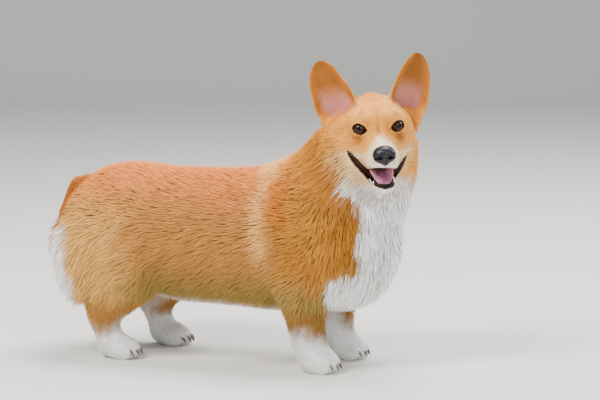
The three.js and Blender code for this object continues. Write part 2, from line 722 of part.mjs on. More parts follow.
// The bib down the chest, and the ruff round the neck
const bibSize = { length: 48, wide: 14, thick: 2.4, lift: 6 };
lockRows(3, [120, 10], 90, [262, 234, 206, 178, 150, 122], [-85, 85], 6, bibSize, down(0.1, 0.05));
const ruffSize = { length: 44, wide: 15, thick: 2.4, lift: 4 };
lockRows(5, [150, 8], 70, [312, 280], [100, 260], 6, ruffSize, down(0.7, 0.05));

// The fringe along the belly
const fringeSize = { length: 32, wide: 11, thick: 2, lift: 5 };
const fringeStep = 34;
const fringeRandom = randomFrom(7);
for (const s of [1, -1])
  for (let x = -140; x < 90; x += fringeStep) {
    const start = V(x + fringeRandom(-4, 4), s * 44, bellyHeight);
    growLock(start, down(0.9, 0.2), varied(fringeRandom, fringeSize));
  }

// The feathers down the backs of the forelegs
const featherSize = { length: 28, wide: 8, thick: 2, lift: 5 };
const featherRandom = randomFrom(9);
for (const s of [1, -1])
  for (const z of [112, 92, 72])
    growLock(V(foreFootX - 50, s * 64, z), down(0.4, 0.05), varied(featherRandom, featherSize));

// The hair of the tail
const tailSize = { length: 28, wide: 9, thick: 2, lift: 4 };
const tailRandom = randomFrom(13);
for (const z of [224, 204])
  for (const y of [-14, 0, 14])
    growLock(V(-300, y, z), down(0.3, 0.2), varied(tailRandom, tailSize), tailField, () => "tail");

// The assembly: each node has its own colour, and the origin is under the middle of the dog
const coat = (color) => new THREE.MeshStandardMaterial({ color, roughness: 0.85, metalness: 0 });
const wet = (color, roughness) => new THREE.MeshStandardMaterial({ color, roughness, metalness: 0 });
const tan = coat(0xc98a4e);
const white = coat(0xe9e6e0);
const finishes = {
  tongue: wet(0xc98a98, 0.35),
  nose: wet(0x2b2c31, 0.4),
  eye_left: wet(0x2a1a12, 0.08),
  eye_right: wet(0x2a1a12, 0.08),
};
const dog = new THREE.Group();
for (const [name, solid] of Object.entries(nodes)) {
  const mesh = new THREE.Mesh(geometryOf(solid), finishes[name] ?? (name.includes("paw") ? white : tan));
  mesh.name = name;
  dog.add(mesh);
}
const reach = new THREE.Box3().setFromObject(dog, true);
const middle = reach.getCenter(V(0, 0, 0));
for (const mesh of dog.children) mesh.position.set(-middle.x, -middle.y, 0);
export default dog;
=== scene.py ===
import math

import bpy
import numpy as np
from mathutils import Matrix, Vector


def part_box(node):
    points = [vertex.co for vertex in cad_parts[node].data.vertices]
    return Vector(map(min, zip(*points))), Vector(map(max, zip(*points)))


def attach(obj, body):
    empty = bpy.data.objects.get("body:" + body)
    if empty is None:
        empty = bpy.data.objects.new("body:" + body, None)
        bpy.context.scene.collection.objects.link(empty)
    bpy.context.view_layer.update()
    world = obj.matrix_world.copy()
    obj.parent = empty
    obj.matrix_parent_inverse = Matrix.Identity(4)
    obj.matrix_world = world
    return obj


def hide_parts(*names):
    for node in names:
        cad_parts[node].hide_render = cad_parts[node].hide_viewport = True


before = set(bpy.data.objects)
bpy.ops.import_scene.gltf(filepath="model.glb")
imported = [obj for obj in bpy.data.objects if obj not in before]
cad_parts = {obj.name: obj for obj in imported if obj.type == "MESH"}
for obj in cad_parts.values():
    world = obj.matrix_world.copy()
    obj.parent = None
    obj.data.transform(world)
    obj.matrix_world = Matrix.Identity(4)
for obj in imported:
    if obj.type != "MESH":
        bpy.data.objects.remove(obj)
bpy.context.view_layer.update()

# How the dog stands
# The dog's own sizes are in millimetres, with the head in a frame of its own that is turned to the
# dog's right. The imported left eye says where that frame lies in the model.
SKULL = np.array([191.0, -9.0, 339.0])
HEAD = np.array(
    Matrix.Rotation(math.radians(-63), 3, "Z")
    @ Matrix.Rotation(math.radians(5), 3, "Y")
    @ Matrix.Rotation(math.radians(4.4), 3, "X")
)
EYE = np.array([42.5, 25.5, 7.0])
eye_low, eye_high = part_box("eye_left")
SHIFT = np.array((eye_low + eye_high) / 2) * 1000 - (SKULL + HEAD @ EYE)
SHIFT[2] = 0.0
# Mirrored forms are made for the dog's left side, 1, and for its right side, -1
SIDES = (1, -1)


def to_head(x, y, z):
    """The head's own coordinates of points given in the dog's."""
    x, y, z = x - SKULL[0], y - SKULL[1], z - SKULL[2]
    return [HEAD[0, i] * x + HEAD[1, i] * y + HEAD[2, i] * z for i in range(3)]


def from_head(points):
    """The dog's millimetres for points in the head's frame."""
    return SKULL + np.asarray(points) @ HEAD.T


def metres(points):
    """The model's metres for points in the dog's millimetres."""
    return (np.asarray(points) + SHIFT) / 1000


# Flesh and bone
# The body is modelled as named masses that flow into each other, as a sculptor's armature is padded.
# Each mass is a field: about the distance to its surface in millimetres, below zero inside.
def mass(centre, half, lean=0.0):
    """An ellipsoid, leaned forward at its top by an angle in degrees."""
    c, s = math.cos(math.radians(lean)), math.sin(math.radians(lean))

    def field(x, y, z):
        dx, dy, dz = x - centre[0], y - centre[1], z - centre[2]
        u, w = dx * c - dz * s, dx * s + dz * c
        near = np.sqrt((u / half[0]) ** 2 + (w / half[2]) ** 2 + (dy / half[1]) ** 2)
        slope = np.sqrt((u / half[0] ** 2) ** 2 + (w / half[2] ** 2) ** 2 + (dy / half[1] ** 2) ** 2)
        return near * (near - 1) / np.maximum(slope, 1e-9)

    return field


def limb(start, end, r1, r2):
    """A round shaft between two balls of the radii r1 and r2."""
    ax, ay, az = (float(b - a) for a, b in zip(start, end))
    l2, rr = ax * ax + ay * ay + az * az, r1 - r2
    a2 = l2 - rr * rr

    def field(x, y, z):
        dx, dy, dz = x - start[0], y - start[1], z - start[2]
        t = dx * ax + dy * ay + dz * az
        q = (dx * l2 - ax * t) ** 2 + (dy * l2 - ay * t) ** 2 + (dz * l2 - az * t) ** 2
        past = t - l2
        k = math.copysign(rr * rr, rr) * q
        side = (np.sqrt(q * a2 / l2) + t * rr) / l2 - r1
        end_cap = np.sqrt(q + past * past * l2) / l2 - r2
        start_cap = np.sqrt(q + t * t * l2) / l2 - r1
        at_start = np.where(np.sign(t) * a2 * t * t * l2 < k, start_cap, side)
        return np.where(np.sign(past) * a2 * past * past * l2 > k, end_cap, at_start)

    return field


def joined(width, a, b):
    """The nearer of two surfaces, their meeting filled out over the given width."""
    h = np.maximum(width - np.abs(a - b), 0) / width
    return np.minimum(a, b) - h * h * width / 4


def carved(width, a, b):
    """The values of a with the inside of b taken out, the edge rounded over the given width."""
    return -joined(width, -a, b)


def flow(width, *fields):
    """Several masses grown together over the given width."""

    def field(x, y, z):
        best = fields[0](x, y, z)
        for other in fields[1:]:
            best = joined(width, best, other(x, y, z))
        return best

    return field


# Heights of back and belly, width of the trunk, places of rump, chest and feet, and how toes spread.
# The left hind foot stands a step ahead of the right one.
BACK, BELLY, WIDTH = 274.0, 74.0, 190.0
MIDDLE, HALF = (BACK + BELLY) / 2, (BACK - BELLY) / 2
RUMP_X, CHEST_X, FORE_X, HIND_X = -232.0, 150.0, 117.0, -190.0
FORE_TRACK, HIND_TRACK = 56.0, 62.0
HIND_STEP = 24.0
TOES = (-1.5, -0.5, 0.5, 1.5)


def fore_paw(s):
    """The middle of a paw, along and across the dog."""
    return FORE_X + 8, s * FORE_TRACK


def hind_paw(s):
    return HIND_X + HIND_STEP * (s > 0) + 14, s * HIND_TRACK


def foreleg(s):
    paw = (*fore_paw(s), 18)
    toes = [mass((paw[0] + 17 - abs(n) * 4, paw[1] + n * 11, 12), (17, 6.6, 13)) for n in TOES]
    return flow(
        12,
        limb((FORE_X - 12, s * 66, 120), (FORE_X - 6, s * (FORE_TRACK - 2), 44), 34, 24),
        limb((FORE_X - 6, s * (FORE_TRACK - 2), 44), (paw[0] - 4, paw[1], 20), 22, 20),
        mass(paw, (25, 22, 19)),
        flow(3, *toes),
    )


def hindleg(s):
    paw = (*hind_paw(s), 17)
    foot = paw[0] - 14
    hock = (foot - 10, s * HIND_TRACK, 62)
    toes = [mass((paw[0] + 17 - abs(n) * 4, paw[1] + n * 10, 11), (16, 6.2, 12)) for n in TOES]
    return flow(
        12,
        limb((foot + 38, s * 66, 128), hock, 40, 23),
        limb(hock, (foot, s * HIND_TRACK, 22), 20, 19),
        mass(paw, (25, 20, 18)),
        flow(3, *toes),
    )


trunk = flow(
    34,
    mass((40, 0, MIDDLE + 2), (140, WIDTH / 2, HALF + 2)),
    mass((-80, 0, MIDDLE + 1), (135, WIDTH / 2 - 5, HALF - 3)),
    mass((RUMP_X + 50, 0, 190), (98, 84, 85)),
    mass((CHEST_X - 2, 0, 166), (66, 72, 86)),
    mass((CHEST_X + 26, 0, 190), (40, 46, 62)),
    mass((92, 0, 234), (72, 48, 50)),
    *[mass((112, s * 58, 176), (60, 36, 74), -12) for s in SIDES],
    *[mass((-193, s * 54, 156), (82, 40, 90), 10) for s in SIDES],
    flow(20, limb((118, 0, 228), (156, 0, 292), 76, 62), limb((156, 0, 292), (176, 12, 332), 62, 48)),
    mass((184, 30, 280), (55, 56, 72)),
)
legs = [foreleg(1), foreleg(-1), hindleg(1), hindleg(-1)]
head_flesh = flow(
    13,
    mass((-6, 0, -2), (60, 55, 45)),
    mass((24, 0, 9), (32, 36, 25)),
    *[mass((37, s * 19, 17), (13, 13, 8)) for s in SIDES],
    *[mass((22, s * 23, -20), (30, 19, 24)) for s in SIDES],
    *[mass((-8, s * 34, -30), (36, 25, 36)) for s in SIDES],
    limb((34, 0, -20), (92, 0, -27), 28, 16.5),
    *[mass((74, s * 9, -35), (26, 11, 12)) for s in SIDES],
    *[mass((24, s * 20, -44), (22, 14, 17)) for s in SIDES],
    limb((6, 0, -56), (72, 0, -66), 22, 10),
    mass((70, 0, -66), (17, 15, 10)),
)


# The short tail at the rump, the dark hair round it, and how deep its hide lies under that hair
tail = limb((-260, -8, 234), (-277, -15, 194), 19, 16)
tail_mark = limb((-256, -20, 236), (-264, -34, 198), 33, 38)
TAIL_DEPTH = 3.0


def ramp(value, low, high):
    """A smooth rise from 0 at one value to 1 at another."""
    t = np.clip((value - low) / (high - low), 0, 1)
    return t * t * (3 - 2 * t)


# Ears: upright cupped shells with rounded tips, in the head's frame. The sides run up to ARCH_START of
# the height, and from there the edge is half an ellipse.
EAR_TURN = math.radians(24)
EAR_FOOT, EAR_TIP = (-10.0, 42.0, 4.0), (-17.0, 70.0, 94.0)
EAR_HALF, EAR_THICK, EAR_INSET = 27.5, 4.2, 0.6
ARCH_START = 0.3


def ear_frame(s):
    """Foot, length and the three directions of an ear: up, across and to the front."""
    foot, tip = (np.array([u, s * v, w]) for u, v, w in (EAR_FOOT, EAR_TIP))
    facing = np.array([math.cos(EAR_TURN), s * math.sin(EAR_TURN), 0.1])
    length = np.linalg.norm(tip - foot)
    up = (tip - foot) / length
    across = np.cross(up, facing)
    across /= np.linalg.norm(across)
    return foot, length, up, across, np.cross(across, up)


def ear_widest(s, high, wide):
    """Half the width before it narrows, more on the side of the crown and towards the foot."""
    inner_side = wide * ear_frame(s)[3][1] * s < 0
    return EAR_HALF + 5 * (1 - ramp(high, 0.2, 0.8)) * inner_side


def ear_coordinates(s, u, v, w):
    """Height from 0 at the foot to 1 at the tip, place across, place to the front, and half width."""
    foot, length, up, across, front = ear_frame(s)
    du, dv, dw = u - foot[0], v - foot[1], w - foot[2]
    high, wide, ahead = (du * a[0] + dv * a[1] + dw * a[2] for a in (up, across, front))
    high = high / length
    narrowing = np.where(high < ARCH_START, 0.22 * (1 - high / ARCH_START), 0)
    arch = np.sqrt(np.maximum(0, 1 - np.maximum(0, (high - ARCH_START) / (1 - ARCH_START)) ** 2))
    return high, wide, ahead, 1.5 + ear_widest(s, high, wide) * (1 - narrowing) * arch


def ear_cup(high):
    """How deep the ear is cupped, from the foot to the tip."""
    return 17 * (1 - np.clip(high, 0, 1)) + 5


def ear_sheet(high, wide, half):
    """Where the middle of the ear's sheet lies, to the front."""
    share = np.clip(wide / half, -1, 1)
    return ear_cup(high) * (share**2 - 0.5)


def ear(s):
    length = ear_frame(s)[1]

    def field(u, v, w):
        high, wide, ahead, half = ear_coordinates(s, u, v, w)
        thickness = EAR_THICK * (1 - 0.22 * np.clip(high, 0, 1))
        steep = 2 * ear_cup(high) * np.clip(wide / half, -1, 1) / half
        sheet = np.abs(ahead - ear_sheet(high, wide, half) + 2.1) / np.sqrt(1 + steep**2) - thickness / 2
        upper = np.maximum(high - ARCH_START, 0) / (1 - ARCH_START)
        widest = 1.5 + ear_widest(s, high, wide)
        near = np.sqrt((wide / widest) ** 2 + upper**2)
        rate = np.sqrt((wide / widest**2) ** 2 + (upper / ((1 - ARCH_START) * length)) ** 2)
        arch_edge = near * (near - 1) / np.maximum(rate, 1e-9)
        edge = np.where(high > ARCH_START, arch_edge, np.abs(wide) - half) + EAR_INSET
        return -joined(3.0, -sheet, -np.maximum(edge, -high * length - 10))

    return field


def coat_depth(x, y, z):
    """How deep the coat is at a point, in millimetres: long on body and neck, short on face and feet."""
    u, v, w = to_head(x, y, z)
    headness = 1 - ramp(head_flesh(u, v, w), 4, 26)
    body = 9 - 5.5 * (1 - ramp(z, 55, 120)) - 1.4 * (1 - ramp(z, 25, 50))
    face = 1.2 + 1.4 * ramp(-u, -70, -35) + 3.5 * ramp(-u, -35, 30)
    face = face + 1.2 * ramp(-w, 20, 60) * ramp(-u, -60, 0)
    return body + (face - body) * headness


# The mouth stands open in a smile: seen from the front, the upper lips slope down from the corners to
# the muzzle, and the lower lip hangs round the tongue in a deep curve
LIP_SIDE = (0, 12, 17, 24, 30, 37, 41, 43.5)
UPPER_LIP = (-47, -47.3, -48, -41, -34, -26.5, -23.5, -24.5)
LOWER_RIM = (-68.5, -66, -60.5, -52.0, -44.5, -35.5, -28.5, -24.5)
LOWER_EDGE = (-75.6, -72, -65, -56.0, -48.5, -39.5, -32.5, -27.5)
MOUTH_DEPTH, MOUTH_START = 7.0, 27.0


def lip_gap(u, v, w, edge):
    """Below zero between the upper lip and the given lower edge, as the lips show from in front."""
    side = np.abs(v)
    height = w - 0.21 * (u - 60) + 0.1 * v
    gap = np.maximum(
        height - np.interp(side, LIP_SIDE, UPPER_LIP),
        np.interp(side, LIP_SIDE, edge) - height,
    )
    return np.maximum(gap, MOUTH_START - u)


def by_mouth(v, w):
    """Whether a place is in the stretch of the face that holds the lips."""
    return (np.abs(v) < 44) & (w < -18) & (w > -76)


# Eyes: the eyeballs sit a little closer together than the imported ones, and look a little outward. The
# lids meet at a tear corner on the side of the nose.
EYEBALL, EYE_SIDE = 11.0, 24.3
LOOK_OUT = math.radians(14)
TEAR_ASIDE, TEAR_BELOW = 9.4, 2.2


def eye_axes(s):
    """The gaze of an eye and its two cross directions, to the outer corner and up."""
    gaze = np.array([math.cos(LOOK_OUT), s * math.sin(LOOK_OUT), 0.04])
    gaze /= np.linalg.norm(gaze)
    corner = np.cross([0.0, 0.0, 1.0], gaze) * s
    corner /= np.linalg.norm(corner)
    return gaze, corner, np.cross(gaze, corner) * s


def from_eye(s, u, v, w):
    """Places along the gaze, to the outer corner and up, from the centre of an eyeball."""
    du, dv, dw = u - EYE[0], v - s * EYE_SIDE, w - EYE[2]
    return [du * a[0] + dv * a[1] + dw * a[2] for a in eye_axes(s)]


def almond(aside, above):
    """1 on the edge of the open eye, less inside it, as seen along the gaze."""
    slant = above - 0.14 * aside
    return np.sqrt((aside / 8.6) ** 2 + (slant / np.where(slant > 0, 7.2, 6.2)) ** 2)


def tear_corner(aside, above):
    """The distance from the tear corner, as seen along the gaze."""
    return np.sqrt((aside + TEAR_ASIDE) ** 2 + (above + TEAR_BELOW) ** 2)


def eyelids(value, u, v, w):
    """Adds the brow, the lids and their opening round each eyeball."""
    for s in SIDES:
        ahead, aside, above = from_eye(s, u, v, w)
        ball = np.sqrt(ahead**2 + aside**2 + above**2)
        brow = np.sqrt((ahead - 3) ** 2 + (aside * 0.7 + 2) ** 2 + (above - 11) ** 2)
        value = joined(6, value, brow - 6)
        value = joined(5, value, ball - EYEBALL - 1.6)
        opening = np.maximum((almond(aside, above) - 1) * 5.5, -ahead)
        value = carved(1.4, value, opening)
        tear = np.sqrt((ahead - 8.5) ** 2 + (aside + TEAR_ASIDE) ** 2 + (above + TEAR_BELOW) ** 2)
        value = carved(2, value, tear - 1.6)
    return value


def face_forms(value, u, v, w):
    """Adds the ears, the lids and the mouth to the skin around the head."""
    for s in SIDES:
        value = joined(9, value, mass((-13, s * 19, 25), (19, 17, 14))(u, v, w))
        value = joined(8, value, ear(s)(u, v, w))
    value = eyelids(value, u, v, w)
    stop = np.maximum(np.abs(v) - 0.5, np.maximum(20 - u, np.abs(w - 18) - 16))
    value = carved(7, value, np.maximum(stop, -value - 1.2))
    lips = np.maximum(lip_gap(u, v, w, LOWER_RIM), -value - MOUTH_DEPTH)
    throat = np.maximum(lip_gap(u, v, w, LOWER_RIM), np.maximum(np.abs(v) - 15.5, 34 - u))
    throat = np.maximum(throat, -(w + 60.5 + 0.22 * (u - 60)))
    value = carved(2.2, value, joined(2, lips, throat))
    philtrum = np.maximum(np.abs(v) - 0.8, np.maximum(np.abs(w + 36) - 8, 92 - u))
    return carved(2.0, value, philtrum)


def body_skin(x, y, z):
    """The hide of trunk, legs and tail, for all places away from the face."""
    return joined(9, flow(24, trunk, *legs)(x, y, z) + coat_depth(x, y, z), tail(x, y, z) + TAIL_DEPTH)


def skin(x, y, z):
    """The hide of the whole dog."""
    u, v, w = to_head(x, y, z)
    flesh = joined(16, flow(24, trunk, *legs)(x, y, z), head_flesh(u, v, w))
    value = joined(9, flesh + coat_depth(x, y, z), tail(x, y, z) + TAIL_DEPTH)
    return face_forms(value, u, v, w)


def steps(*stops):
    """Grid lines from stop to stop: place, step, place, step, place."""
    lines = [np.arange(a, b, d) for a, d, b in zip(stops[0:-1:2], stops[1::2], stops[2::2])]
    return np.append(np.concatenate(lines), stops[-1])


def sampled(field, xs, ys, zs):
    """A field's values at each crossing of the grid lines."""
    return field(xs[:, None, None], ys[None, :, None], zs[None, None, :]).astype(np.float32)


def net_over(value, *axes):
    """Quads over the zero of sampled values, one corner in each grid cell that the surface crosses."""
    value[[0, -1]] = value[:, [0, -1]] = value[:, :, [0, -1]] = 1.0
    inside = value < 0
    strides = np.array([value.shape[1] * value.shape[2], value.shape[2], 1])
    cells, places, quads = [], [], []
    for axis in range(3):
        low = [slice(None)] * 3
        high = [slice(None)] * 3
        low[axis], high[axis] = slice(None, -1), slice(1, None)
        at = np.argwhere(inside[tuple(low)] != inside[tuple(high)])
        step = np.eye(3, dtype=int)[axis]
        a, b = value[tuple(at.T)], value[tuple((at + step).T)]
        place = np.stack([axes[i][at[:, i]] for i in range(3)], 1)
        reach = axes[axis][at[:, axis] + 1] - axes[axis][at[:, axis]]
        place[:, axis] += reach * a / (a - b)
        u, v = strides[(axis + 1) % 3], strides[(axis + 2) % 3]
        flat = at @ strides
        ring = np.stack([flat - u - v, flat - v, flat, flat - u], 1)
        ring[a >= 0] = ring[a >= 0][:, ::-1]
        quads.append(ring)
        cells.append(ring.ravel())
        places.append(np.repeat(place, 4, axis=0))
    cells, places = np.concatenate(cells), np.concatenate(places)
    index = np.unique(cells, return_inverse=True)[1]
    count = np.bincount(index)
    corners = np.stack([np.bincount(index, places[:, i]) / count for i in range(3)], 1)
    return corners, index.reshape(-1, 4)


PROBE = 0.6


def gradient(field, points):
    """How fast a field rises along each axis, measured over PROBE to either side of the points."""
    parts = [field(*(points + o).T) - field(*(points - o).T) for o in np.eye(3) * PROBE]
    return np.stack(parts, 1) / (2 * PROBE)


def outward(field, points):
    """The outward direction of a field at each point."""
    n = gradient(field, points)
    return n / np.maximum(np.linalg.norm(n, axis=1, keepdims=True), 1e-9)


def settled(field, points, turns=2, limit=2.0):
    """Points moved onto the zero of a field, none by more than the limit."""
    home = points
    for _ in range(turns):
        steep = gradient(field, home)
        home = home - steep * (field(*home.T) / np.maximum(np.sum(steep**2, axis=1), 0.3))[:, None]
    move = home - points
    far = np.linalg.norm(move, axis=1, keepdims=True)
    return points + move * np.minimum(1, limit / np.maximum(far, 1e-9))


def mesh_piece(name, points, faces):
    """A smooth object at the origin from points in the dog's millimetres and faces of equal length."""
    mesh = bpy.data.meshes.new(name)
    faces = np.asarray(faces)
    mesh.vertices.add(len(points))
    mesh.vertices.foreach_set("co", metres(points).astype(np.float32).ravel())
    mesh.loops.add(faces.size)
    mesh.loops.foreach_set("vertex_index", faces.astype(np.int32).ravel())
    mesh.polygons.add(len(faces))
    mesh.polygons.foreach_set("loop_start", np.arange(0, faces.size, faces.shape[1], dtype=np.int32))
    mesh.update(calc_edges=True)
    mesh.polygons.foreach_set("use_smooth", np.ones(len(faces), bool))
    piece = bpy.data.objects.new(name, mesh)
    bpy.context.scene.collection.objects.link(piece)
    return piece


def paint(piece, colours):
    """Stores one linear colour for each point of a piece, as the attribute that materials read."""
    layer = piece.data.attributes.new("coat", "FLOAT_COLOR", "POINT")
    four = np.ones((len(colours), 4), np.float32)
    four[:, :3] = colours
    layer.data.foreach_set("color", four.ravel())


# The markings, with painted light and shade
# Red and fawn with white: a white bib, throat, muzzle, breeches, belly and feet, as the breed is marked.
# Painted highlights lie on the crest and withers, and painted shade lies low on the flanks, under the belly
# and behind the cheeks. Skin and coat take their colour from the same function of the place on the dog.
def linear(code):
    """The linear colour of an sRGB code."""
    rgb = np.array([int(code[i : i + 2], 16) / 255 for i in (1, 3, 5)])
    return np.where(rgb <= 0.04045, rgb / 12.92, ((rgb + 0.055) / 1.055) ** 2.4)


def drift(points, size, seed):
    """Smooth noise of about the given size in millimetres, mostly from -1 to 1."""
    random = np.random.default_rng(seed)
    total = 0
    for _ in range(5):
        wave = random.normal(size=3) / size * 2.2
        total = total + np.sin(points @ wave + random.uniform(0, 6.3))
    return total / 3


def flat(code, count):
    """One colour for so many points."""
    return np.tile(linear(code), (count, 1))


def layered(colour, *layers):
    """Colours blended towards each code in turn, by a share for each point."""
    for code, share in layers:
        colour = colour + (linear(code) - colour) * np.clip(share, 0, 1)[:, None]
    return colour


# The edge of the white bib, up the chest and neck: heights, and how far forward the red hair reaches
BIB_EDGE_Z = (60, 90, 100, 119, 143, 147, 151, 156, 165, 189, 230, 250, 268, 290)
BIB_EDGE_X = (158, 156, 152, 150, 158, 172, 198, 190, 187, 185, 187, 183, 171, 176)


def red_hair_and_painted_light(x, z, from_skull, off_head, on_tail, blur):
    """The red and fawn of back, flanks, neck and tail, with painted highlights and painted shade laid in.
    """
    behind_shoulder = ramp(18 - np.abs(x + blur - 57 + (z - 240) * 0.06), 0, 14) * ramp(z, 130, 190)
    shoulder = ramp(19 - np.abs(x + blur * 0.8 - 89), 0, 14) * ramp(z, 180, 225)
    # Painted shadow on the neck behind and below the cheeks, where the head overhangs it
    cheek_shadow = ramp(from_skull + blur * 0.6, 5, 12) * (1 - ramp(from_skull, 18, 38))
    cheek_shadow = cheek_shadow * ramp(z, 240, 262) * (1 - ramp(z, 318, 345))
    return layered(
        flat("#B77B3B", len(x)),
        ("#DD7F38", ramp(z + blur, 205, 262)),
        # Painted shade with greenish light thrown up from below: the lower flanks duller and greener
        ("#978242", (1 - ramp(z + blur, 100, 165)) * 0.8),
        ("#E4AA58", ramp(-x + blur, 110, 190) * (1 - ramp(z, 185, 250)) * 0.85),
        ("#B67827", ramp(x + blur, 66, 100) * ramp(z, 110, 160)),
        ("#FFC16F", behind_shoulder * 0.5),
        ("#BC6414", shoulder * 0.62),
        ("#9E5F19", ramp(x + blur, 140, 172) * ramp(z, 160, 200) * off_head * 0.45),
        # Painted highlight: the crest of the neck lighter, as if lit from above
        ("#FFB83C", ramp(z + blur, 280, 320) * off_head * 0.75),
        # Painted shade: the bottom of the flanks darker still
        ("#A66C2C", (1 - ramp(z + blur, 70, 108)) * 0.7),
        ("#E88F38", ramp(z + blur, 240, 305) * ramp(x, 60, 120) * off_head * 0.65),
        # Painted highlight on the top of the withers
        ("#FFBE6A", ramp(z + blur, 254, 272) * ramp(36 - np.abs(x - 62), 0, 24) * 0.6),
        # Painted shadow behind the cheeks
        ("#9C5A1C", cheek_shadow * 0.6),
        ("#B0621F", on_tail),
    )


def white_share(x, y, z, off_head, on_tail, blur):
    """1 on the white of bib, breeches, inner legs, belly and feet, 0 elsewhere."""
    edge = np.interp(z - 12 * (1 - ramp(z, 170, 236)), BIB_EDGE_Z, BIB_EDGE_X)
    bib = ramp(x + blur * 0.7 - edge, -4, 5) * off_head * (1 - ramp(z + blur, 290, 306))
    breeches = ramp(-x + blur, 222, 236) * (1 - ramp(z + blur, 186, 200))
    inner = (1 - ramp(np.abs(y), 30, 48)) * (1 - ramp(z + blur, 100, 124))
    feet = 1 - ramp(z + blur * 1.8, 36, 66)
    return np.maximum.reduce([bib, breeches, inner, feet]) * (1 - on_tail)


def face_hair(u, v, w, blur):
    """The red of the head, its white muzzle and throat, and the darker hair over and under the eyes."""
    brow = np.sqrt((u - 44) ** 2 + (np.abs(v) - 21) ** 2 + (w - 20) ** 2)
    under_eye = np.sqrt((u - 50) ** 2 + (np.abs(v) - 26) ** 2 + (w + 7) ** 2)
    return layered(
        flat("#E99C3F", len(u)),
        ("#FFAC4C", ramp(w, 10, 34) * ramp(u, -10, 20) * 0.8),
        ("#DF832C", ramp(-u, -16, 18) * 0.7),
        ("#F8D999", ramp(-w, 14, 34) * ramp(u, 12, 34) * 0.85),
        ("#FFDEB5", ramp(u, 66, 84)),
        ("#F2DFCF", ramp(9 - np.abs(v), 0, 6) * ramp(u, 56, 78) * 0.7),
        ("#B4671F", ramp(10 - brow, 0, 8) * 0.75),
        ("#94571F", ramp(13 - under_eye, 0, 11) * 0.75),
        ("#ECE7E0", ramp(u, 72, 88) * ramp(-w, 24, 38) * 0.85),
        ("#F7F6F3", ramp(-w + blur * 0.4, 64, 76) * ramp(u + blur, 0, 22)),
    )


def ear_hair(s, colour, u, v, w, blur):
    """The colours with those of one ear laid over: red, with a pale edge and a rosy inside."""
    high, wide, ahead, half = ear_coordinates(s, u, v, w)
    on_ear = ramp(high, 0.12, 0.3) * ramp(half + 6 - np.abs(wide), 0, 3) * (np.abs(ahead) < 26)
    on_front = on_ear * (ahead - ear_sheet(high, wide, half) > -1.5)
    within = ramp(half * 0.8 - np.abs(wide), 0, 9)
    warm = within * (1 - ramp(high + 0.01 * blur, 0.38, 0.66))
    rosy = warm * (1 - ramp(high, 0.2, 0.44)) * ramp(half * 0.7 - np.abs(wide), 0, 9)
    return layered(
        colour,
        ("#B3671C", on_ear),
        ("#E0A055", on_ear * ramp(np.abs(wide) - half + 4.5, 0, 4)),
        ("#9C5D20", on_front * within),
        ("#BA7A65", on_front * warm),
        ("#B46E74", on_front * rosy * 0.8),
    )


def coat_colour(points):
    """Hide and hair colour at each point, painted light and shade included; marking edges drift a little.
    """
    x, y, z = points.T
    u, v, w = to_head(x, y, z)
    from_skull = head_flesh(u, v, w)
    headness = 1 - ramp(from_skull, 2, 20)
    off_head = 1 - headness
    blur = drift(points, 26, 1) * 5 + drift(points, 9, 2) * 2.5
    on_tail = 1 - ramp(tail_mark(x, y, z) + blur * 0.5, -4, 5)
    red = red_hair_and_painted_light(x, z, from_skull, off_head, on_tail, blur)
    # Painted shade under the belly and chest: the white there darkened towards a dusky fawn
    under = (1 - ramp(z, 96, 116)) * (1 - ramp(x, 84, 104)) * ramp(z, 66, 76)
    white = layered(flat("#F7F6F3", len(x)), ("#C3A983", under * 0.7))
    body = red + (white - red) * white_share(x, y, z, off_head, on_tail, blur)[:, None]
    colour = body + (face_hair(u, v, w, blur) - body) * headness[:, None]
    for s in SIDES:
        colour = ear_hair(s, colour, u, v, w, blur)
    return colour


# The skin
# One hide from nose to tail, under the coat: it stands in for every node of flesh, so no seam shows.
# It lies inside the solids by the depth of the coat, and is bare at the lips, lids, nose and inner ears.

# The grid is finer round the face, whose forms are added ahead of FACE_X and above FACE_Z only.
grid = (steps(-312, 4.0, 96, 1.8, 290), steps(-114, 1.8, 66, 3.6, 114), steps(-6, 4.0, 230, 1.8, 450))
FACE_X, FACE_Z = np.searchsorted(grid[0], 97), np.searchsorted(grid[2], 232)
value = np.empty([len(lines) for lines in grid], np.float32)
value[:FACE_X] = sampled(body_skin, grid[0][:FACE_X], grid[1], grid[2])
value[FACE_X:, :, :FACE_Z] = sampled(body_skin, grid[0][FACE_X:], grid[1], grid[2][:FACE_Z])
value[FACE_X:, :, FACE_Z:] = sampled(skin, grid[0][FACE_X:], grid[1], grid[2][FACE_Z:])
skin_corners, skin_quads = net_over(value, *grid)
skin_corners = settled(skin, skin_corners)
skin_corners[:, 2] = np.maximum(skin_corners[:, 2], 0.2)
hide = mesh_piece("skin", skin_corners, skin_quads)

# Dark lips and mouth, the cleft under the nose and the rims of the lids
LIP_BROWN, MOUTH_RED, JAW_BLACK = "#35221D", "#60342E", "#120B0A"
CLEFT_BROWN, LID_BLACK = "#4A3632", "#17100E"
hu, hv, hw = to_head(*skin_corners.T)
lips = lip_gap(hu, hv, hw, LOWER_EDGE)
within = lip_gap(hu, hv, hw, LOWER_RIM)
on_face = by_mouth(hv, hw)
cleft = (np.abs(hv) < 1.3) & (hu > 92) & (hw < -27) & (hw > -46)
hide_colours = layered(
    coat_colour(skin_corners),
    (LIP_BROWN, ramp(1.6 + 1.0 * ramp(np.abs(hv), 24, 32) - lips, 0, 1.2) * on_face),
    (MOUTH_RED, ramp(-within, 1.5, 5) * on_face),
    (JAW_BLACK, ramp(-hw, 62, 66) * ramp(1.6 - lips, 0, 1.2) * on_face),
    (CLEFT_BROWN, cleft * 0.8),
)
for s in SIDES:
    ahead, aside, above = from_eye(s, hu, hv, hw)
    lid_rim = ramp(1.27 - almond(aside, above), 0, 0.12) * (ahead > 0)
    tear_rim = ramp(2.8 - tear_corner(aside, above), 0, 1.2) * (ahead > 0)
    hide_colours = layered(hide_colours, (LID_BLACK, lid_rim), (LID_BLACK, tear_rim))
paint(hide, hide_colours)


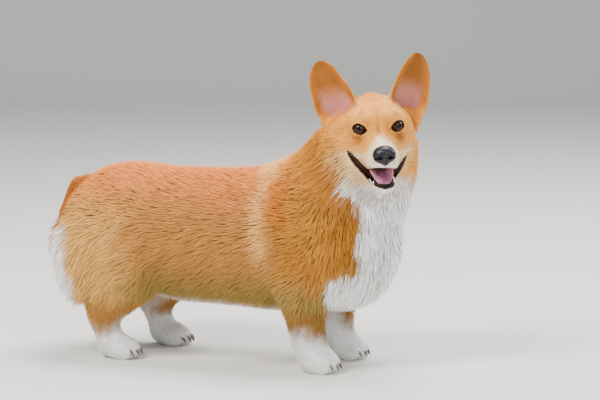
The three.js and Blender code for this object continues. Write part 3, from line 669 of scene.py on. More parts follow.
def add_node(tree, kind, settings=None, **links):
    """Adds a node with its settings, and its inputs as values or as another node's output."""
    node = tree.nodes.new(kind)
    for key, value in (settings or {}).items():
        setattr(node, key, value)
    for key, value in links.items():
        by_number = key[0] == "i" and key[1:].isdigit()
        socket = node.inputs[int(key[1:]) if by_number else key.replace("_", " ")]
        if isinstance(value, bpy.types.NodeSocket):
            tree.links.new(value, socket)
        else:
            socket.default_value = value
    return node


def new_material(name):
    """A material with its nodes and its main shader."""
    material = bpy.data.materials.new(name)
    material.use_nodes = True
    return material, material.node_tree, material.node_tree.nodes["Principled BSDF"]


# Dog skin: dry and matt, finely creased, pigmented dark at lips and lids
hide_finish, tree, shader = new_material("dog_skin")
hide_paint = add_node(tree, "ShaderNodeAttribute", {"attribute_name": "coat"})
place = add_node(tree, "ShaderNodeTexCoord").outputs["Object"]
creases = add_node(tree, "ShaderNodeTexNoise", Vector=place, Scale=900.0, Detail=3.0)
tree.links.new(hide_paint.outputs["Color"], shader.inputs["Base Color"])
bump = add_node(tree, "ShaderNodeBump", Strength=0.25, Distance=0.0004, Height=creases.outputs["Fac"])
tree.links.new(bump.outputs["Normal"], shader.inputs["Normal"])
shader.inputs["Roughness"].default_value = 0.6
shader.inputs["IOR"].default_value = 1.4
shader.inputs["Specular IOR Level"].default_value = 0.2
hide.data.materials.append(hide_finish)

bpy.context.view_layer.objects.active = hide
hide.select_set(True)
bpy.ops.object.mode_set(mode="EDIT")
bpy.ops.mesh.select_all(action="SELECT")
bpy.ops.uv.smart_project(angle_limit=math.radians(66), island_margin=0.001)
bpy.ops.object.mode_set(mode="OBJECT")
hide.data.uv_layers[0].name = "unwrap"
flesh = [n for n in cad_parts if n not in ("nose", "tongue", "eye_left", "eye_right")]
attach(hide, "root")
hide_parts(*flesh)

# The eyes
# Two dark brown eyeballs of acrylic in the sockets, each with a clear raised cornea over iris and pupil.
# They look forward and a little outward, and the lids close round them.

# Eye acrylic: dark brown and faintly fibred, under a clear gloss
eye_finish, tree, shader = new_material("wet_eye")
eye_paint = add_node(tree, "ShaderNodeAttribute", {"attribute_name": "coat"})
place = add_node(tree, "ShaderNodeTexCoord").outputs["Object"]
fibres = add_node(tree, "ShaderNodeTexNoise", Vector=place, Scale=2600.0, Detail=2.0)
mixed = add_node(
    tree,
    "ShaderNodeMix",
    {"data_type": "RGBA", "blend_type": "MULTIPLY"},
    i0=0.5,
    i6=eye_paint.outputs["Color"],
    i7=fibres.outputs["Color"],
)
tree.links.new(mixed.outputs[2], shader.inputs["Base Color"])
shader.inputs["Roughness"].default_value = 0.3
shader.inputs["IOR"].default_value = 1.38
shader.inputs["Specular IOR Level"].default_value = 0.05
shader.inputs["Coat Weight"].default_value = 0.6
shader.inputs["Coat Roughness"].default_value = 0.015
shader.inputs["Coat IOR"].default_value = 1.38


def ringed(rings, turns):
    """Triangles over a first point, rings of so many points each, and a last point."""
    faces = [[0, 1 + i, 1 + (i + 1) % turns] for i in range(turns)]
    for start in range(1, 1 + (rings - 1) * turns, turns):
        for i in range(turns):
            a, b = start + i, start + (i + 1) % turns
            faces += [[a, a + turns, b], [b, a + turns, b + turns]]
    start = 1 + (rings - 1) * turns
    faces += [[start + i, start + turns, start + (i + 1) % turns] for i in range(turns)]
    return np.array(faces)


# The angle of each ring from the gaze, and its radius, which grows under the cornea's bulge
EYE_RINGS, EYE_TURNS = 39, 48
polar = np.linspace(0, math.pi, EYE_RINGS + 2)[1:-1]
eye_radius = EYEBALL + 0.9 * (1 - ramp(polar, 0.2, 0.85))
CORNEA_TOP = EYEBALL * 1.082
for s, name in zip(SIDES, ("eye_left", "eye_right")):
    gaze, aside, above = eye_axes(s)
    ball = [CORNEA_TOP * gaze]
    for far, size in zip(polar, eye_radius):
        for turn in np.linspace(0, 2 * math.pi, EYE_TURNS, endpoint=False):
            sideways = math.cos(turn) * aside + math.sin(turn) * above
            ball.append(size * (math.cos(far) * gaze + math.sin(far) * sideways))
    ball.append(-EYEBALL * gaze)
    centre = np.array([EYE[0], s * EYE_SIDE, EYE[2]])
    triangles = ringed(EYE_RINGS, EYE_TURNS)
    if np.dot(np.cross(aside, above), gaze) < 0:
        triangles = triangles[:, ::-1]
    eyeball = mesh_piece(name + "_ball", from_head(centre + np.array(ball)), triangles)
    far = np.concatenate([[0], np.repeat(polar, EYE_TURNS), [math.pi]])
    pupil, dark_rim = 1 - ramp(far, 0.24, 0.32), ramp(far, 0.62, 0.76)
    paint(eyeball, layered(flat("#38200F", len(far)), ("#060405", pupil), ("#140B08", dark_rim)))
    eyeball.data.materials.append(eye_finish)
    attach(eyeball, "root")
    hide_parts(name)

# The nose
# A black, wet, leathery pad at the end of the muzzle, finely pebbled, with two comma-shaped nostrils
# and a shallow groove down the middle.
nose_flesh = flow(
    6,
    mass((101, 0, -18), (13, 13.4, 10.5)),
    *[mass((101, s * 8, -21.5), (10, 7, 8.5)) for s in SIDES],
    mass((101, 0, -29), (8, 6, 7)),
)


def nose_pad(u, v, w):
    value = nose_flesh(u, v, w)
    for s in SIDES:
        value = carved(1.6, value, mass((113.0, s * 6.6, -22.5), (6.5, 3.1, 2.7))(u, v, w))
        value = carved(1.2, value, mass((108.5, s * 12.2, -23.5), (6, 3.4, 1.3), -10)(u, v, w))
    groove = np.maximum(np.abs(v) - 0.5, np.maximum(w + 22, 100 - u))
    return carved(1.8, value, groove)


# A grid of PAD_STEP round the pad, ahead, across and up in the head's frame
PAD_STEP = 0.8
lines = [np.arange(a, b, PAD_STEP) for a, b in ((84, 118), (-19, 19.5), (-40, -4))]
pad_corners, pad_quads = net_over(sampled(nose_pad, *lines), *lines)
pad_corners = settled(nose_pad, pad_corners, 1, 0.5)
nose = mesh_piece("nose_pad", from_head(pad_corners), pad_quads)


def clouded(name, dark, light, scale, detail=2.0, low=0.35, high=0.65):
    """A finish clouded between two colours: the material, its nodes, its shader and Object places."""
    finish, tree, shader = new_material(name)
    place = add_node(tree, "ShaderNodeTexCoord").outputs["Object"]
    cloud = add_node(tree, "ShaderNodeTexNoise", Vector=place, Scale=scale, Detail=detail)
    tint = add_node(tree, "ShaderNodeValToRGB", i0=cloud.outputs["Fac"])
    for stop, at, code in zip(tint.color_ramp.elements, (low, high), (dark, light)):
        stop.position, stop.color = at, (*linear(code), 1)
    tree.links.new(tint.outputs["Color"], shader.inputs["Base Color"])
    return finish, tree, shader, place


# Nose leather: black, wet and pebbled
nose_finish, tree, shader, place = clouded("nose_leather", "#09090D", "#1B1A22", 240.0, low=0.0, high=1.0)
pebbles = add_node(tree, "ShaderNodeTexVoronoi", Vector=place, Scale=1050.0)
bump = add_node(tree, "ShaderNodeBump", Strength=0.5, Distance=0.0003, Height=pebbles.outputs["Distance"])
tree.links.new(bump.outputs["Normal"], shader.inputs["Normal"])
shader.inputs["Roughness"].default_value = 0.42
shader.inputs["IOR"].default_value = 1.45
shader.inputs["Specular IOR Level"].default_value = 0.3
shader.inputs["Coat Weight"].default_value = 0.15
shader.inputs["Coat Roughness"].default_value = 0.2
nose.data.materials.append(nose_finish)
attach(nose, "root")
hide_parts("nose")

# The tongue
# Moist pink muscle that lies in the lower jaw, hollowed along its middle, broad at the back and
# rounded at the tip, which rests against the lower lip.

# Places along the tongue, ahead and up in the head's frame, with its half width and thickness there
TONGUE_LINE = np.array(
    [(24, -50), (40, -50.5), (54, -52.5), (66, -55.5), (76, -59), (82.5, -62.5), (84.8, -65.5)]
)
TONGUE_HALF = (13, 15.5, 16.2, 14.6, 12.6, 9.0, 3.5)
TONGUE_THICK = (5, 5, 5, 4.6, 4.2, 3.4, 1.6)
TONGUE_RINGS, TONGUE_TURNS = 37, 28
share = np.linspace(0, 6, TONGUE_RINGS)
line = np.stack([np.interp(share, range(7), TONGUE_LINE[:, i]) for i in (0, 1)], 1)
for _ in range(3):
    line[1:-1] = (line[:-2] + 2 * line[1:-1] + line[2:]) / 4
half = np.interp(share, range(7), TONGUE_HALF)
thick = np.interp(share, range(7), TONGUE_THICK)
loops = [(line[0, 0] - 1, 0, line[0, 1])]
for (along, rise), wide, deep in zip(line, half, thick):
    for turn in np.linspace(0, -2 * math.pi, TONGUE_TURNS, endpoint=False):
        across, high = math.cos(turn), math.sin(turn)
        dish = 1.9 * abs(across) ** 2 - 1.5 * math.exp(-((across * 5) ** 2)) * (high > 0)
        loops.append((along, across * wide, rise + dish * wide / 16 + (high * 0.5) * deep))
loops.append((line[-1, 0] + 0.6, 0, line[-1, 1] - 0.6))
tongue = mesh_piece("tongue_flesh", from_head(loops), ringed(TONGUE_RINGS, TONGUE_TURNS))

# Tongue flesh: moist, soft and faintly rough with buds
tongue_finish, tree, shader, place = clouded("wet_tongue", "#A25A76", "#C2809F", 120.0, 3.0, 0.3, 0.7)
buds = add_node(tree, "ShaderNodeTexVoronoi", Vector=place, Scale=1300.0)
bump = add_node(tree, "ShaderNodeBump", Strength=0.35, Distance=0.0003, Height=buds.outputs["Distance"])
tree.links.new(bump.outputs["Normal"], shader.inputs["Normal"])
shader.inputs["Roughness"].default_value = 0.36
shader.inputs["IOR"].default_value = 1.4
shader.inputs["Subsurface Weight"].default_value = 0.25
shader.inputs["Subsurface Radius"].default_value = (0.004, 0.0015, 0.001)
shader.inputs["Subsurface Scale"].default_value = 0.6
shader.inputs["Coat Weight"].default_value = 0.3
shader.inputs["Coat Roughness"].default_value = 0.15
tongue.data.materials.append(tongue_finish)
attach(tongue, "root")
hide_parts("tongue")

# Teeth, claws and whiskers
# Hard, slender growths: ivory teeth along the lower jaw, horn claws on the sixteen toes, stiff white
# whiskers. Each is a tapered shaft swept along its own curved line.
shaft_tree = bpy.data.node_groups.new("tapered_shaft", "GeometryNodeTree")
for label, kind, way in (
    ("Lines", "NodeSocketGeometry", "INPUT"),
    ("Sides", "NodeSocketInt", "INPUT"),
    ("Finish", "NodeSocketMaterial", "INPUT"),
    ("Shafts", "NodeSocketGeometry", "OUTPUT"),
):
    shaft_tree.interface.new_socket(label, in_out=way, socket_type=kind)
entry = shaft_tree.nodes.new("NodeGroupInput")
size = add_node(shaft_tree, "GeometryNodeInputNamedAttribute", {"data_type": "FLOAT"}, i0="half")
curve = add_node(shaft_tree, "GeometryNodeMeshToCurve", Mesh=entry.outputs["Lines"]).outputs[0]
sides = entry.outputs["Sides"]
ring = add_node(shaft_tree, "GeometryNodeCurvePrimitiveCircle", Resolution=sides, Radius=1.0)
shaft = add_node(shaft_tree, "GeometryNodeCurveToMesh", i0=curve, i1=ring.outputs[0], i2=size.outputs[0])
shaft.inputs["Fill Caps"].default_value = True
whole = add_node(shaft_tree, "GeometryNodeRealizeInstances", Geometry=shaft.outputs[0])
smooth = add_node(shaft_tree, "GeometryNodeSetShadeSmooth", i0=whole.outputs[0]).outputs[0]
made = add_node(shaft_tree, "GeometryNodeSetMaterial", Geometry=smooth, Material=entry.outputs["Finish"])
shaft_tree.links.new(made.outputs[0], shaft_tree.nodes.new("NodeGroupOutput").inputs[0])


def shafts(name, lines, halves, sides, finish):
    """One piece of tapered shafts: lines of points in the dog's millimetres, and their half widths."""
    points, edges, sizes = [], [], []
    for line, half in zip(lines, halves):
        edges += [(len(points) + i, len(points) + i + 1) for i in range(len(line) - 1)]
        points += list(line)
        sizes += list(half)
    guide = bpy.data.meshes.new(name + "_lines")
    guide.from_pydata([tuple(p) for p in metres(points)], edges, [])
    guide.attributes.new("half", "FLOAT", "POINT").data.foreach_set("value", np.array(sizes) / 1000)
    piece = bpy.data.objects.new(name, guide)
    bpy.context.scene.collection.objects.link(piece)
    grower = piece.modifiers.new("grow", "NODES")
    grower.node_group = shaft_tree
    for label, chosen in (("Sides", sides), ("Finish", finish)):
        grower[shaft_tree.interface.items_tree[label].identifier] = chosen
    grown = bpy.data.meshes.new_from_object(piece.evaluated_get(bpy.context.evaluated_depsgraph_get()))
    piece.modifiers.remove(grower)
    piece.data = grown
    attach(piece, "root")


def bend_through(points, count=9):
    """A soft line of so many points along the given ones."""
    points = np.asarray(points, float)
    place = np.linspace(0, len(points) - 1, count)
    line = np.stack([np.interp(place, range(len(points)), points[:, i]) for i in range(3)], 1)
    for _ in range(2):
        line[1:-1] = (line[:-2] + 2 * line[1:-1] + line[2:]) / 4
    return line


def plain_finish(name, dark, light, scale, roughness, ior):
    """A hard finish with faint streaks between two colours."""
    finish, _, shader, _ = clouded(name, dark, light, scale)
    shader.inputs["Roughness"].default_value = roughness
    shader.inputs["IOR"].default_value = ior
    return finish


# Tooth enamel: hard, ivory white and wet
enamel = plain_finish("tooth_enamel", "#E3D9C0", "#F2ECDD", 300.0, 0.2, 1.62)
tooth_lines, tooth_halves = [], []
for s in SIDES:
    tooth_lines.append(bend_through([(72, s * 13.4, -67), (75, s * 13.8, -62), (75.5, s * 14.0, -59.6)]))
    tooth_halves.append(np.linspace(1, 0, 9) ** 0.6 * 1.4 + 0.1)
    for u, tall in ((64, 1.2), (57, 1.6), (49, 2.0)):
        foot = np.array([u, s * (14.6 + (70 - u) * 0.08), -66.5 + (70 - u) * 0.1])
        tooth_lines.append(bend_through([foot, foot + (0.3, 0, tall * 0.6), foot + (0, 0, tall + 1)]))
        tooth_halves.append(np.linspace(1, 0, 9) ** 0.5 * 1.4 + 0.1)
for place_across in (-6.2, -3.8, -1.3, 1.3, 3.8, 6.2):
    foot = np.array([83 - abs(place_across) * 0.25, place_across, -68.5])
    tooth_lines.append(bend_through([foot, foot + (0.4, 0, 1.8), foot + (0.6, 0, 3.4)]))
    tooth_halves.append(np.linspace(1, 0.4, 9) * 1.15)
shafts("teeth", [from_head(line) for line in tooth_lines], tooth_halves, 12, enamel)

# Claw horn: blunt, worn keratin, brown-grey with a soft shine
horn = plain_finish("claw_horn", "#3B302A", "#7C6B5C", 420.0, 0.42, 1.55)
claw_lines = []
paws = [(*fore_paw(s), 11) for s in SIDES] + [(*hind_paw(s), 10) for s in SIDES]
for px, py, spread in paws:
    for n in TOES:
        tip_x, tip_y = px + 33 - abs(n) * 4, py + n * spread
        rise = ((-12, 14), (-5, 14.6), (1, 11.5), (3.4, 5.6))
        claw_lines.append(bend_through([(tip_x + a, tip_y, b) for a, b in rise], 12))
claw_half = np.interp(np.linspace(0, 3, 12), range(4), (2.5, 2.5, 2.0, 0.5))
shafts("claws", claw_lines, [claw_half] * len(claw_lines), 12, horn)

# Whiskers: stiff, springy white hairs, much thicker than a single hair of the coat. They are drawn 0.4 mm
# thick at the root so that they show.
bristle = plain_finish("whisker_keratin", "#D9D2C4", "#F4F0E8", 200.0, 0.4, 1.55)
random = np.random.default_rng(12)
whiskers = []
# Roots on the muzzle, ahead, out and up in the head's frame, and the length of each whisker
WHISKER_ROOTS = (
    (86, 16, -25, 24),
    (82, 18, -28, 28),
    (77, 20, -24, 30),
    (80, 19, -31, 26),
    (72, 22, -27, 30),
)
for s in SIDES:
    for u, v, w, long in WHISKER_ROOTS:
        root = np.array([u, s * (v - 3), w])
        way = np.array([-0.45, s * 0.85, random.uniform(0.0, 0.3)])
        droop = np.array([-0.25, 0, -0.12])
        tip = root + way * long + droop * long * 0.5
        whiskers.append(bend_through([root, root + way * long * 0.5, tip]))
    for n in range(3):
        root = np.array([41 + n * 2.0, s * (20 + n * 3), 22.0 - n])
        whiskers.append(bend_through([root, root + (3, s * 3, 8), root + (1, s * 7, 17)]))
whisker_half = np.linspace(0.2, 0.05, 9)
shafts("whiskers", [from_head(line) for line in whiskers], [whisker_half] * len(whiskers), 5, bristle)

# The coat
# A Pembroke's double coat of medium length: tufts rooted in the skin that lie back along the body,
# down the legs and chest and away from the nose, longest on the ruff, bib and breeches.

# The place of each corner of the hide's faces on its UV map
corner_uv = np.zeros(len(hide.data.loops) * 2, np.float32)
hide.data.uv_layers[0].data.foreach_get("uv", corner_uv)
corner_uv = corner_uv.reshape(-1, 4, 2)


def lie_of_coat(points, normals):
    """The direction in which the hair lies at each point: first freely, then laid along the skin."""
    x, y, z = points.T
    u, v, w = to_head(x, y, z)
    s = np.sign(y)
    ones = np.ones(len(x))
    ways = (
        (ones, -1.0, 0.0, -0.12 - 0.5 * (1 - ramp(z, 120, 230))),
        (ramp(x, 96, 150) * (1 - ramp(z, 236, 290)), -0.25, 0.22 * s, -1.0),
        (ramp(z, 236, 290) * ramp(x, 60, 110), -0.75, 0.12 * s, -0.85),
        (ramp(-x, 130, 200) * (1 - ramp(z, 170, 225)), -0.55, 0.0, -0.9),
        (1 - ramp(z, 84, 122), -0.3, 0.0, -1.0),
        (1 - ramp(z, 22, 40), 0.6, 0.0, -0.5),
        (1 - ramp(tail(x, y, z), 4, 9), -0.4, 0.0, -1.0),
    )
    way = np.zeros((len(x), 3))
    for share, dx, dy, dz in ways:
        new = np.stack([dx * ones, dy * ones, dz * ones], 1)
        way = way + (new - way) * share[:, None]
    headness = 1 - ramp(head_flesh(u, v, w), 2, 20)
    outward_share = np.sign(v) * (0.25 + 0.5 * ramp(-w, -5, 30))
    back = np.stack([-ones, outward_share, 0.35 * ramp(w, -15, 25) - 0.55 * ramp(-w, 15, 55)], 1)
    for k in SIDES:
        high, wide, ahead, half = ear_coordinates(k, u, v, w)
        on_ear = ramp(high, 0.04, 0.22) * (np.abs(ahead) < 28) * (np.abs(wide) < half + 5)
        up = ear_frame(k)[2] + ear_frame(k)[3] * (0.35 * wide / half)[:, None]
        back = back + (up - back) * on_ear[:, None]
        headness = np.maximum(headness, on_ear)
    back = back @ HEAD.T
    way = way + (back - way) * headness[:, None]
    way = way / np.linalg.norm(way, axis=1, keepdims=True)
    swirl = 0.16 * np.stack([drift(points, 30, 21 + i) for i in range(3)], 1)
    way = way + swirl
    way = way - normals * np.sum(way * normals, axis=1)[:, None] * 0.93
    return way / np.linalg.norm(way, axis=1, keepdims=True)


def coat_sizes(points):
    """Length, lift of the tip and half width of the hair at each root, and hair to the square mm."""
    x, y, z = points.T
    u, v, w = to_head(x, y, z)
    depth = coat_depth(x, y, z)
    headness = 1 - ramp(head_flesh(u, v, w), 4, 26)
    bib = ramp(x, 120, 165) * ramp(z, 100, 130)
    breech = ramp(-x, 185, 225) * (1 - ramp(z, 185, 215)) * ramp(z, 85, 110)
    length = 17 + 13 * bib + 8 * ramp(z, 235, 275) * ramp(x, 60, 110) + 16 * breech
    length = length * (0.34 + 0.66 * ramp(z, 60, 112))
    length = np.where(z < 40, 5.0, length)
    lift = depth + 11 * breech + 4 * bib * (1 - headness)
    crown = ramp(w, 8, 30)
    face = 3.2 + 3.2 * ramp(-u, -66, -30) + 8 * ramp(-u - 28 * crown, -30, 20)
    face = face + 4 * ramp(-w, 25, 60) * ramp(-u, -70, -20)
    at_lips = lip_gap(u, v, w, LOWER_EDGE)
    face = np.where(np.abs(v) < 48, np.minimum(face, 0.7 + np.maximum(at_lips, 0.9)), face)
    for s in SIDES:
        ahead, aside, above = from_eye(s, u, v, w)
        by_eye = np.maximum(almond(aside, above) - 1.2, 0)
        face = np.where(ahead > 0, np.minimum(face, 0.9 + 7 * by_eye), face)
    length = length + (face - length) * headness
    on_tail = tail(x, y, z) < 6
    length, lift = np.where(on_tail, 13.0, length), np.where(on_tail, 3.5, lift)
    wide = 0.36 + 0.055 * length ** 0.8
    dense = 0.30 - 0.12 * ramp(length, 3, 12)
    dense = dense * np.maximum(1, 1.4 * (1 - ramp(length, 3, 8)) + 0.6)
    for k in SIDES:
        high, across, ahead, half = ear_coordinates(k, u, v, w)
        on_ear = (high > 0.06) & (high < 1.05) & (np.abs(ahead) < 28) & (np.abs(across) < half + 4)
        near_ear = (high > -0.25) & (high < 1.05) & (np.abs(ahead) < 30) & (np.abs(across) < half + 8)
        length = np.where(near_ear, np.minimum(length, 5.0), length)
        lift = np.where(near_ear, np.minimum(lift, 2.0), lift)
        length = np.where(on_ear, 3.4 - 1.7 * ramp(high, 0.7, 0.95), length)
        lift = np.where(on_ear, 0.5, lift)
        dense = np.where(on_ear, 1.1 + 0.5 * ramp(high, 0.7, 0.95), dense)
    return length, lift, wide, dense


def bare_places(points):
    """Where no hair grows: lips, inside of the mouth, lids, inner ears, nose, and next to the floor."""
    x, y, z = points.T
    u, v, w = to_head(x, y, z)
    bare = (lip_gap(u, v, w, LOWER_EDGE) < 1.3 + 1.2 * ramp(np.abs(v), 24, 32)) & by_mouth(v, w)
    for s in SIDES:
        ahead, aside, above = from_eye(s, u, v, w)
        bare |= ((almond(aside, above) < 1.2) | (tear_corner(aside, above) < 3.1)) & (ahead > 0)
        high, wide, ahead, half = ear_coordinates(s, u, v, w)
        front = (ahead - ear_sheet(high, wide, half) > -1.5) & (ahead < 24)
        hollow = np.abs(wide) < half * (0.8 - 0.5 * ramp(high, 0.3, 0.62))
        bare |= front & hollow & (high > 0.16) & (high < 0.62)
    by_nose = np.sqrt(((u - 103) / 13) ** 2 + (v / 12.5) ** 2 + ((w + 20) / 11) ** 2) < 1.1
    return bare | by_nose | (z < 0.8)


def grow_roots(count_scale, seed):
    """Roots spread over the hide as densely as coat_sizes says, and their places on its UV map."""
    random = np.random.default_rng(seed)
    quads = skin_corners[skin_quads]
    centre = quads.mean(1)
    diagonals = quads[:, 2] - quads[:, 0], quads[:, 3] - quads[:, 1]
    area = 0.5 * np.linalg.norm(np.cross(*diagonals), axis=1)
    density = coat_sizes(centre)[3] * area * ~bare_places(centre) * count_scale
    total = np.concatenate([[0], np.cumsum(density)])
    marks = np.arange(0.5, total[-1]) + random.uniform(-0.4, 0.4, int(total[-1] + 0.5))
    face = np.clip(np.searchsorted(total, marks) - 1, 0, len(area) - 1)
    a, b = random.uniform(size=(2, len(face), 1))
    weights = np.stack([(1 - a) * (1 - b), a * (1 - b), a * b, (1 - a) * b], 1)
    roots = (quads[face] * weights).sum(1)
    uv = (corner_uv[face] * weights).sum(1)
    return random, roots, uv


# How far a tuft's shading is turned from the skin's own direction to that of its three sides
FUR_ROUND = 0.75
# The three edges of a tuft, as angles round its own line
TUFT_EDGES = (0.0, 2.094, 4.189)


def tufts(random, roots, rings):
    """Tapered three-sided tufts: points, triangles, shading normals, owner and share of length of each."""
    normals = outward(skin, roots)
    way = lie_of_coat(roots, normals)
    length, lift, wide, _ = coat_sizes(roots)
    vary = random.uniform(0.75, 1.25, (3, len(roots)))
    length, lift = length * vary[0], lift * vary[1]
    wide = wide * vary[2]
    yaw = random.normal(0, 0.10, len(roots))[:, None]
    across = np.cross(normals, way)
    way = way + across * yaw
    way /= np.linalg.norm(way, axis=1, keepdims=True)
    across = np.cross(normals, way)
    corners, facing, place, out = [], [], roots - normals * 0.7, normals
    for ring in range(rings):
        t = ring / rings
        half = wide * (0.9 if ring == 0 else 1.15 - 0.5 * t)
        for turn in TUFT_EDGES:
            side = across * (half * math.sin(turn))[:, None] + out * (half * 0.45 * math.cos(turn))[:, None]
            corners.append(place + side)
            facing.append(out + side / half[:, None] * FUR_ROUND)
        place = place + way * (length / rings)[:, None]
        height = lift * ((ring + 1) / rings) ** 0.75
        short = height - skin(*place.T)
        place = place + normals * np.clip(short, -length / rings * 0.6, length / rings)[:, None]
    corners.append(place)
    facing.append(out)
    points = np.stack(corners, 1)
    points[..., 2] = np.maximum(points[..., 2], 0.1)
    facing = np.stack(facing, 1).reshape(-1, 3)
    facing /= np.linalg.norm(facing, axis=1, keepdims=True)
    n = points.shape[1]
    faces = [[0, 1, 2]]
    for ring in range(rings - 1):
        base = 3 * ring
        for k in range(3):
            j = (k + 1) % 3
            faces += [[base + j, base + k, base + 3 + j], [base + 3 + j, base + k, base + 3 + k]]
    faces += [[3 * (rings - 1) + (k + 1) % 3, 3 * (rings - 1) + k, n - 1] for k in range(3)]
    faces = (np.array(faces)[None] + np.arange(len(roots))[:, None, None] * n).reshape(-1, 3)
    along = np.concatenate([np.repeat(np.arange(rings) / rings, 3), [1.0]])
    owner = np.repeat(np.arange(len(roots)), n)
    return points.reshape(-1, 3), faces, facing, owner, np.tile(along, len(roots))


# Dog hair: dull, slightly waxy fibres of keratin, each tuft a little different; painted darker at the root
# as shade
hair_finish, tree, shader = new_material("dog_hair")
hair_paint = add_node(tree, "ShaderNodeAttribute", {"attribute_name": "coat"})
tree.links.new(hair_paint.outputs["Color"], shader.inputs["Base Color"])
shader.inputs["Roughness"].default_value = 0.62
shader.inputs["IOR"].default_value = 1.55
shader.inputs["Specular IOR Level"].default_value = 0.12

COAT_SCALE = 1.0
random, roots, root_uv = grow_roots(COAT_SCALE, 4)
u, v, w = to_head(*roots.T)
on_head = head_flesh(u, v, w) < 12
for s in SIDES:
    high, wide, ahead, half = ear_coordinates(s, u, v, w)
    on_head |= (high > 0.05) & (np.abs(ahead) < 28) & (np.abs(wide) < half + 5)
x, y, z = roots.T
on_ears = on_head & (w > 50)
on_head &= ~on_ears
# The neck's piece also holds a second layer of the ears' hair, which makes it denser
body = ~on_head
regions = {
    "coat_ears": on_ears,
    "coat_face_right": on_head & (u > 8) & (v < 0),
    "coat_face_left": on_head & (u > 8) & (v >= 0),
    "coat_head": on_head & (u <= 8),
    "coat_neck": body & (z > 236) & (x > 60),
    "coat_chest": body & (x > 130) & (z <= 236),
    "coat_shoulders": body & (x > 20) & (x <= np.where(z > 236, 60, 130)),
    "coat_loins": body & (x > -120) & (x <= 20),
    "coat_rump": body & (x <= -120) & (z > 150),
    "coat_hind_legs": body & (x <= -120) & (z <= 150),
}
# Each tuft has its own patch of this width on the UV map, round the place of its root on the hide's map
TUFT_PATCH = 0.003
for name, here in regions.items():
    mine = roots[here]
    long_hair = coat_sizes(mine)[0].mean() > 18
    points, faces, facing, owner, along = tufts(random, mine, 3 if long_hair else 2)
    piece = mesh_piece(name, points, faces)
    shading = piece.data.attributes.new("custom_normal", "FLOAT_VECTOR", "POINT")
    shading.data.foreach_set("vector", facing.astype(np.float32).ravel())
    base = coat_colour(mine)
    light = 1 + random.normal(0, 0.085, len(base))
    light = light + 0.09 * drift(mine, 7, 31) + 0.05 * drift(mine, 22, 32)
    less_green, less_blue = random.normal(0, 0.035, len(base)), random.normal(0, 0.07, len(base))
    warm = 1 + np.stack([np.zeros(len(base)), less_green, less_blue], 1)
    tone = base * np.clip(light, 0.55, 1.5)[:, None] * warm
    # Painted shade among the hairs: each tuft darker at its root and lighter towards its tip, less on white
    # hair
    pale = ramp(base[:, 2], 0.45, 0.8)[owner]
    shade = (0.70 + 0.20 * pale) + (0.37 - 0.19 * pale) * along
    paint(piece, np.clip(tone[owner] * shade[:, None], 0.004, 0.97))
    layer = piece.data.uv_layers.new(name="OFBake")
    patch = np.stack([along - 0.5, (np.arange(len(points)) % 3 - 1) * 0.5], 1) * TUFT_PATCH
    corner = (root_uv[here][owner] + patch)[faces.ravel()]
    layer.data.foreach_set("uv", np.clip(corner, 0, 1).astype(np.float32).ravel())
    piece.data.materials.append(hair_finish)
    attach(piece, "root")


# The floor, the backdrop and the light
# A plain pale floor that curves up into a plain backdrop square to the camera, under soft studio light.
floor_finish, tree, shader = new_material("pale_floor")
shader.inputs["Base Color"].default_value = (*linear("#D9D8D4"), 1)
shader.inputs["Roughness"].default_value = 0.9
CAMERA_TURN, CAMERA_RISE, CAMERA_FAR = math.radians(22.0), math.radians(7.0), 3.4
FLOOR_FRONT, FLOOR_HALF, BACKDROP_TOP = -7.0, 9.0, 5.5
CURVE_START, CURVE_SIZE = 4.4, 1.4
profile = [(FLOOR_FRONT, 0.0), (CURVE_START, 0.0)]
for a in np.linspace(0.1, math.pi / 2, 16):
    profile.append((CURVE_START + CURVE_SIZE * math.sin(a), CURVE_SIZE * (1 - math.cos(a))))
profile.append((CURVE_START + CURVE_SIZE, BACKDROP_TOP))
depth_way = np.array([-math.sin(CAMERA_TURN), math.cos(CAMERA_TURN)])
wide_way = np.array([math.cos(CAMERA_TURN), math.sin(CAMERA_TURN)])
sweep = []
for side in (-FLOOR_HALF, FLOOR_HALF):
    sweep += [[*(depth_way * d + wide_way * side), h] for d, h in profile]
n = len(profile)
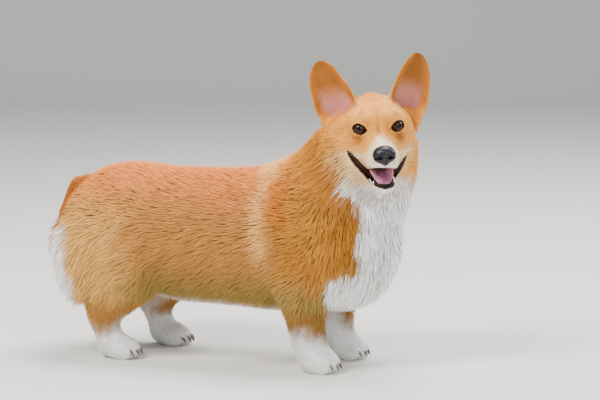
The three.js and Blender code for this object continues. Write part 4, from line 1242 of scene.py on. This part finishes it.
quads = [[i, i + 1, n + i + 1, n + i] for i in range(n - 1)]
floor = mesh_piece("floor", np.array(sweep) * 1000 - SHIFT, np.array(quads)[:, ::-1])
floor.data.materials.append(floor_finish)

# The camera looks at the middle of the dog, with PIXEL metres at the dog to a pixel of the picture
SENSOR, PIXEL, PICTURE_WIDTH = 36.0, 0.0014, 600
level = math.cos(CAMERA_RISE)
back_way = Vector((math.sin(CAMERA_TURN) * level, -math.cos(CAMERA_TURN) * level, math.sin(CAMERA_RISE)))
target = Vector(metres([77.0, 0.0, 231.0]))
camera = bpy.data.objects.new("camera", bpy.data.cameras.new("camera"))
camera.data.sensor_width = SENSOR
camera.data.lens = SENSOR * CAMERA_FAR / (PIXEL * PICTURE_WIDTH)
camera.location = target + back_way * CAMERA_FAR
camera.rotation_euler = back_way.to_track_quat("Z", "Y").to_euler()
bpy.context.scene.collection.objects.link(camera)
bpy.context.scene.camera = camera

# All lights face this place on the dog
LIGHT_AIM = Vector((0.05, 0, 0.2))


def area_light(name, place, size, power, colour=(1.0, 1.0, 1.0)):
    """A round, soft light that faces the dog."""
    lamp = bpy.data.lights.new(name, "AREA")
    lamp.shape, lamp.size, lamp.energy, lamp.color = "DISK", size, power, colour
    holder = bpy.data.objects.new(name, lamp)
    holder.location = place
    holder.rotation_euler = (Vector(place) - LIGHT_AIM).to_track_quat("Z", "Y").to_euler()
    bpy.context.scene.collection.objects.link(holder)


area_light("key_light", (-0.9, -2.0, 2.4), 1.3, 150, (1.0, 0.96, 0.90))
area_light("fill_light", (2.2, -1.6, 1.3), 2.0, 44, (0.92, 0.96, 1.0))
area_light("top_light", (0.2, 0.8, 2.8), 1.8, 120)
area_light("rim_light", (2.0, 2.2, 1.9), 1.0, 70, (1.0, 0.93, 0.82))
world = bpy.data.worlds.new("soft_room")
world.use_nodes = True
world.node_tree.nodes["Background"].inputs["Color"].default_value = (0.80, 0.85, 0.90, 1)
world.node_tree.nodes["Background"].inputs["Strength"].default_value = 0.5
bpy.context.scene.world = world
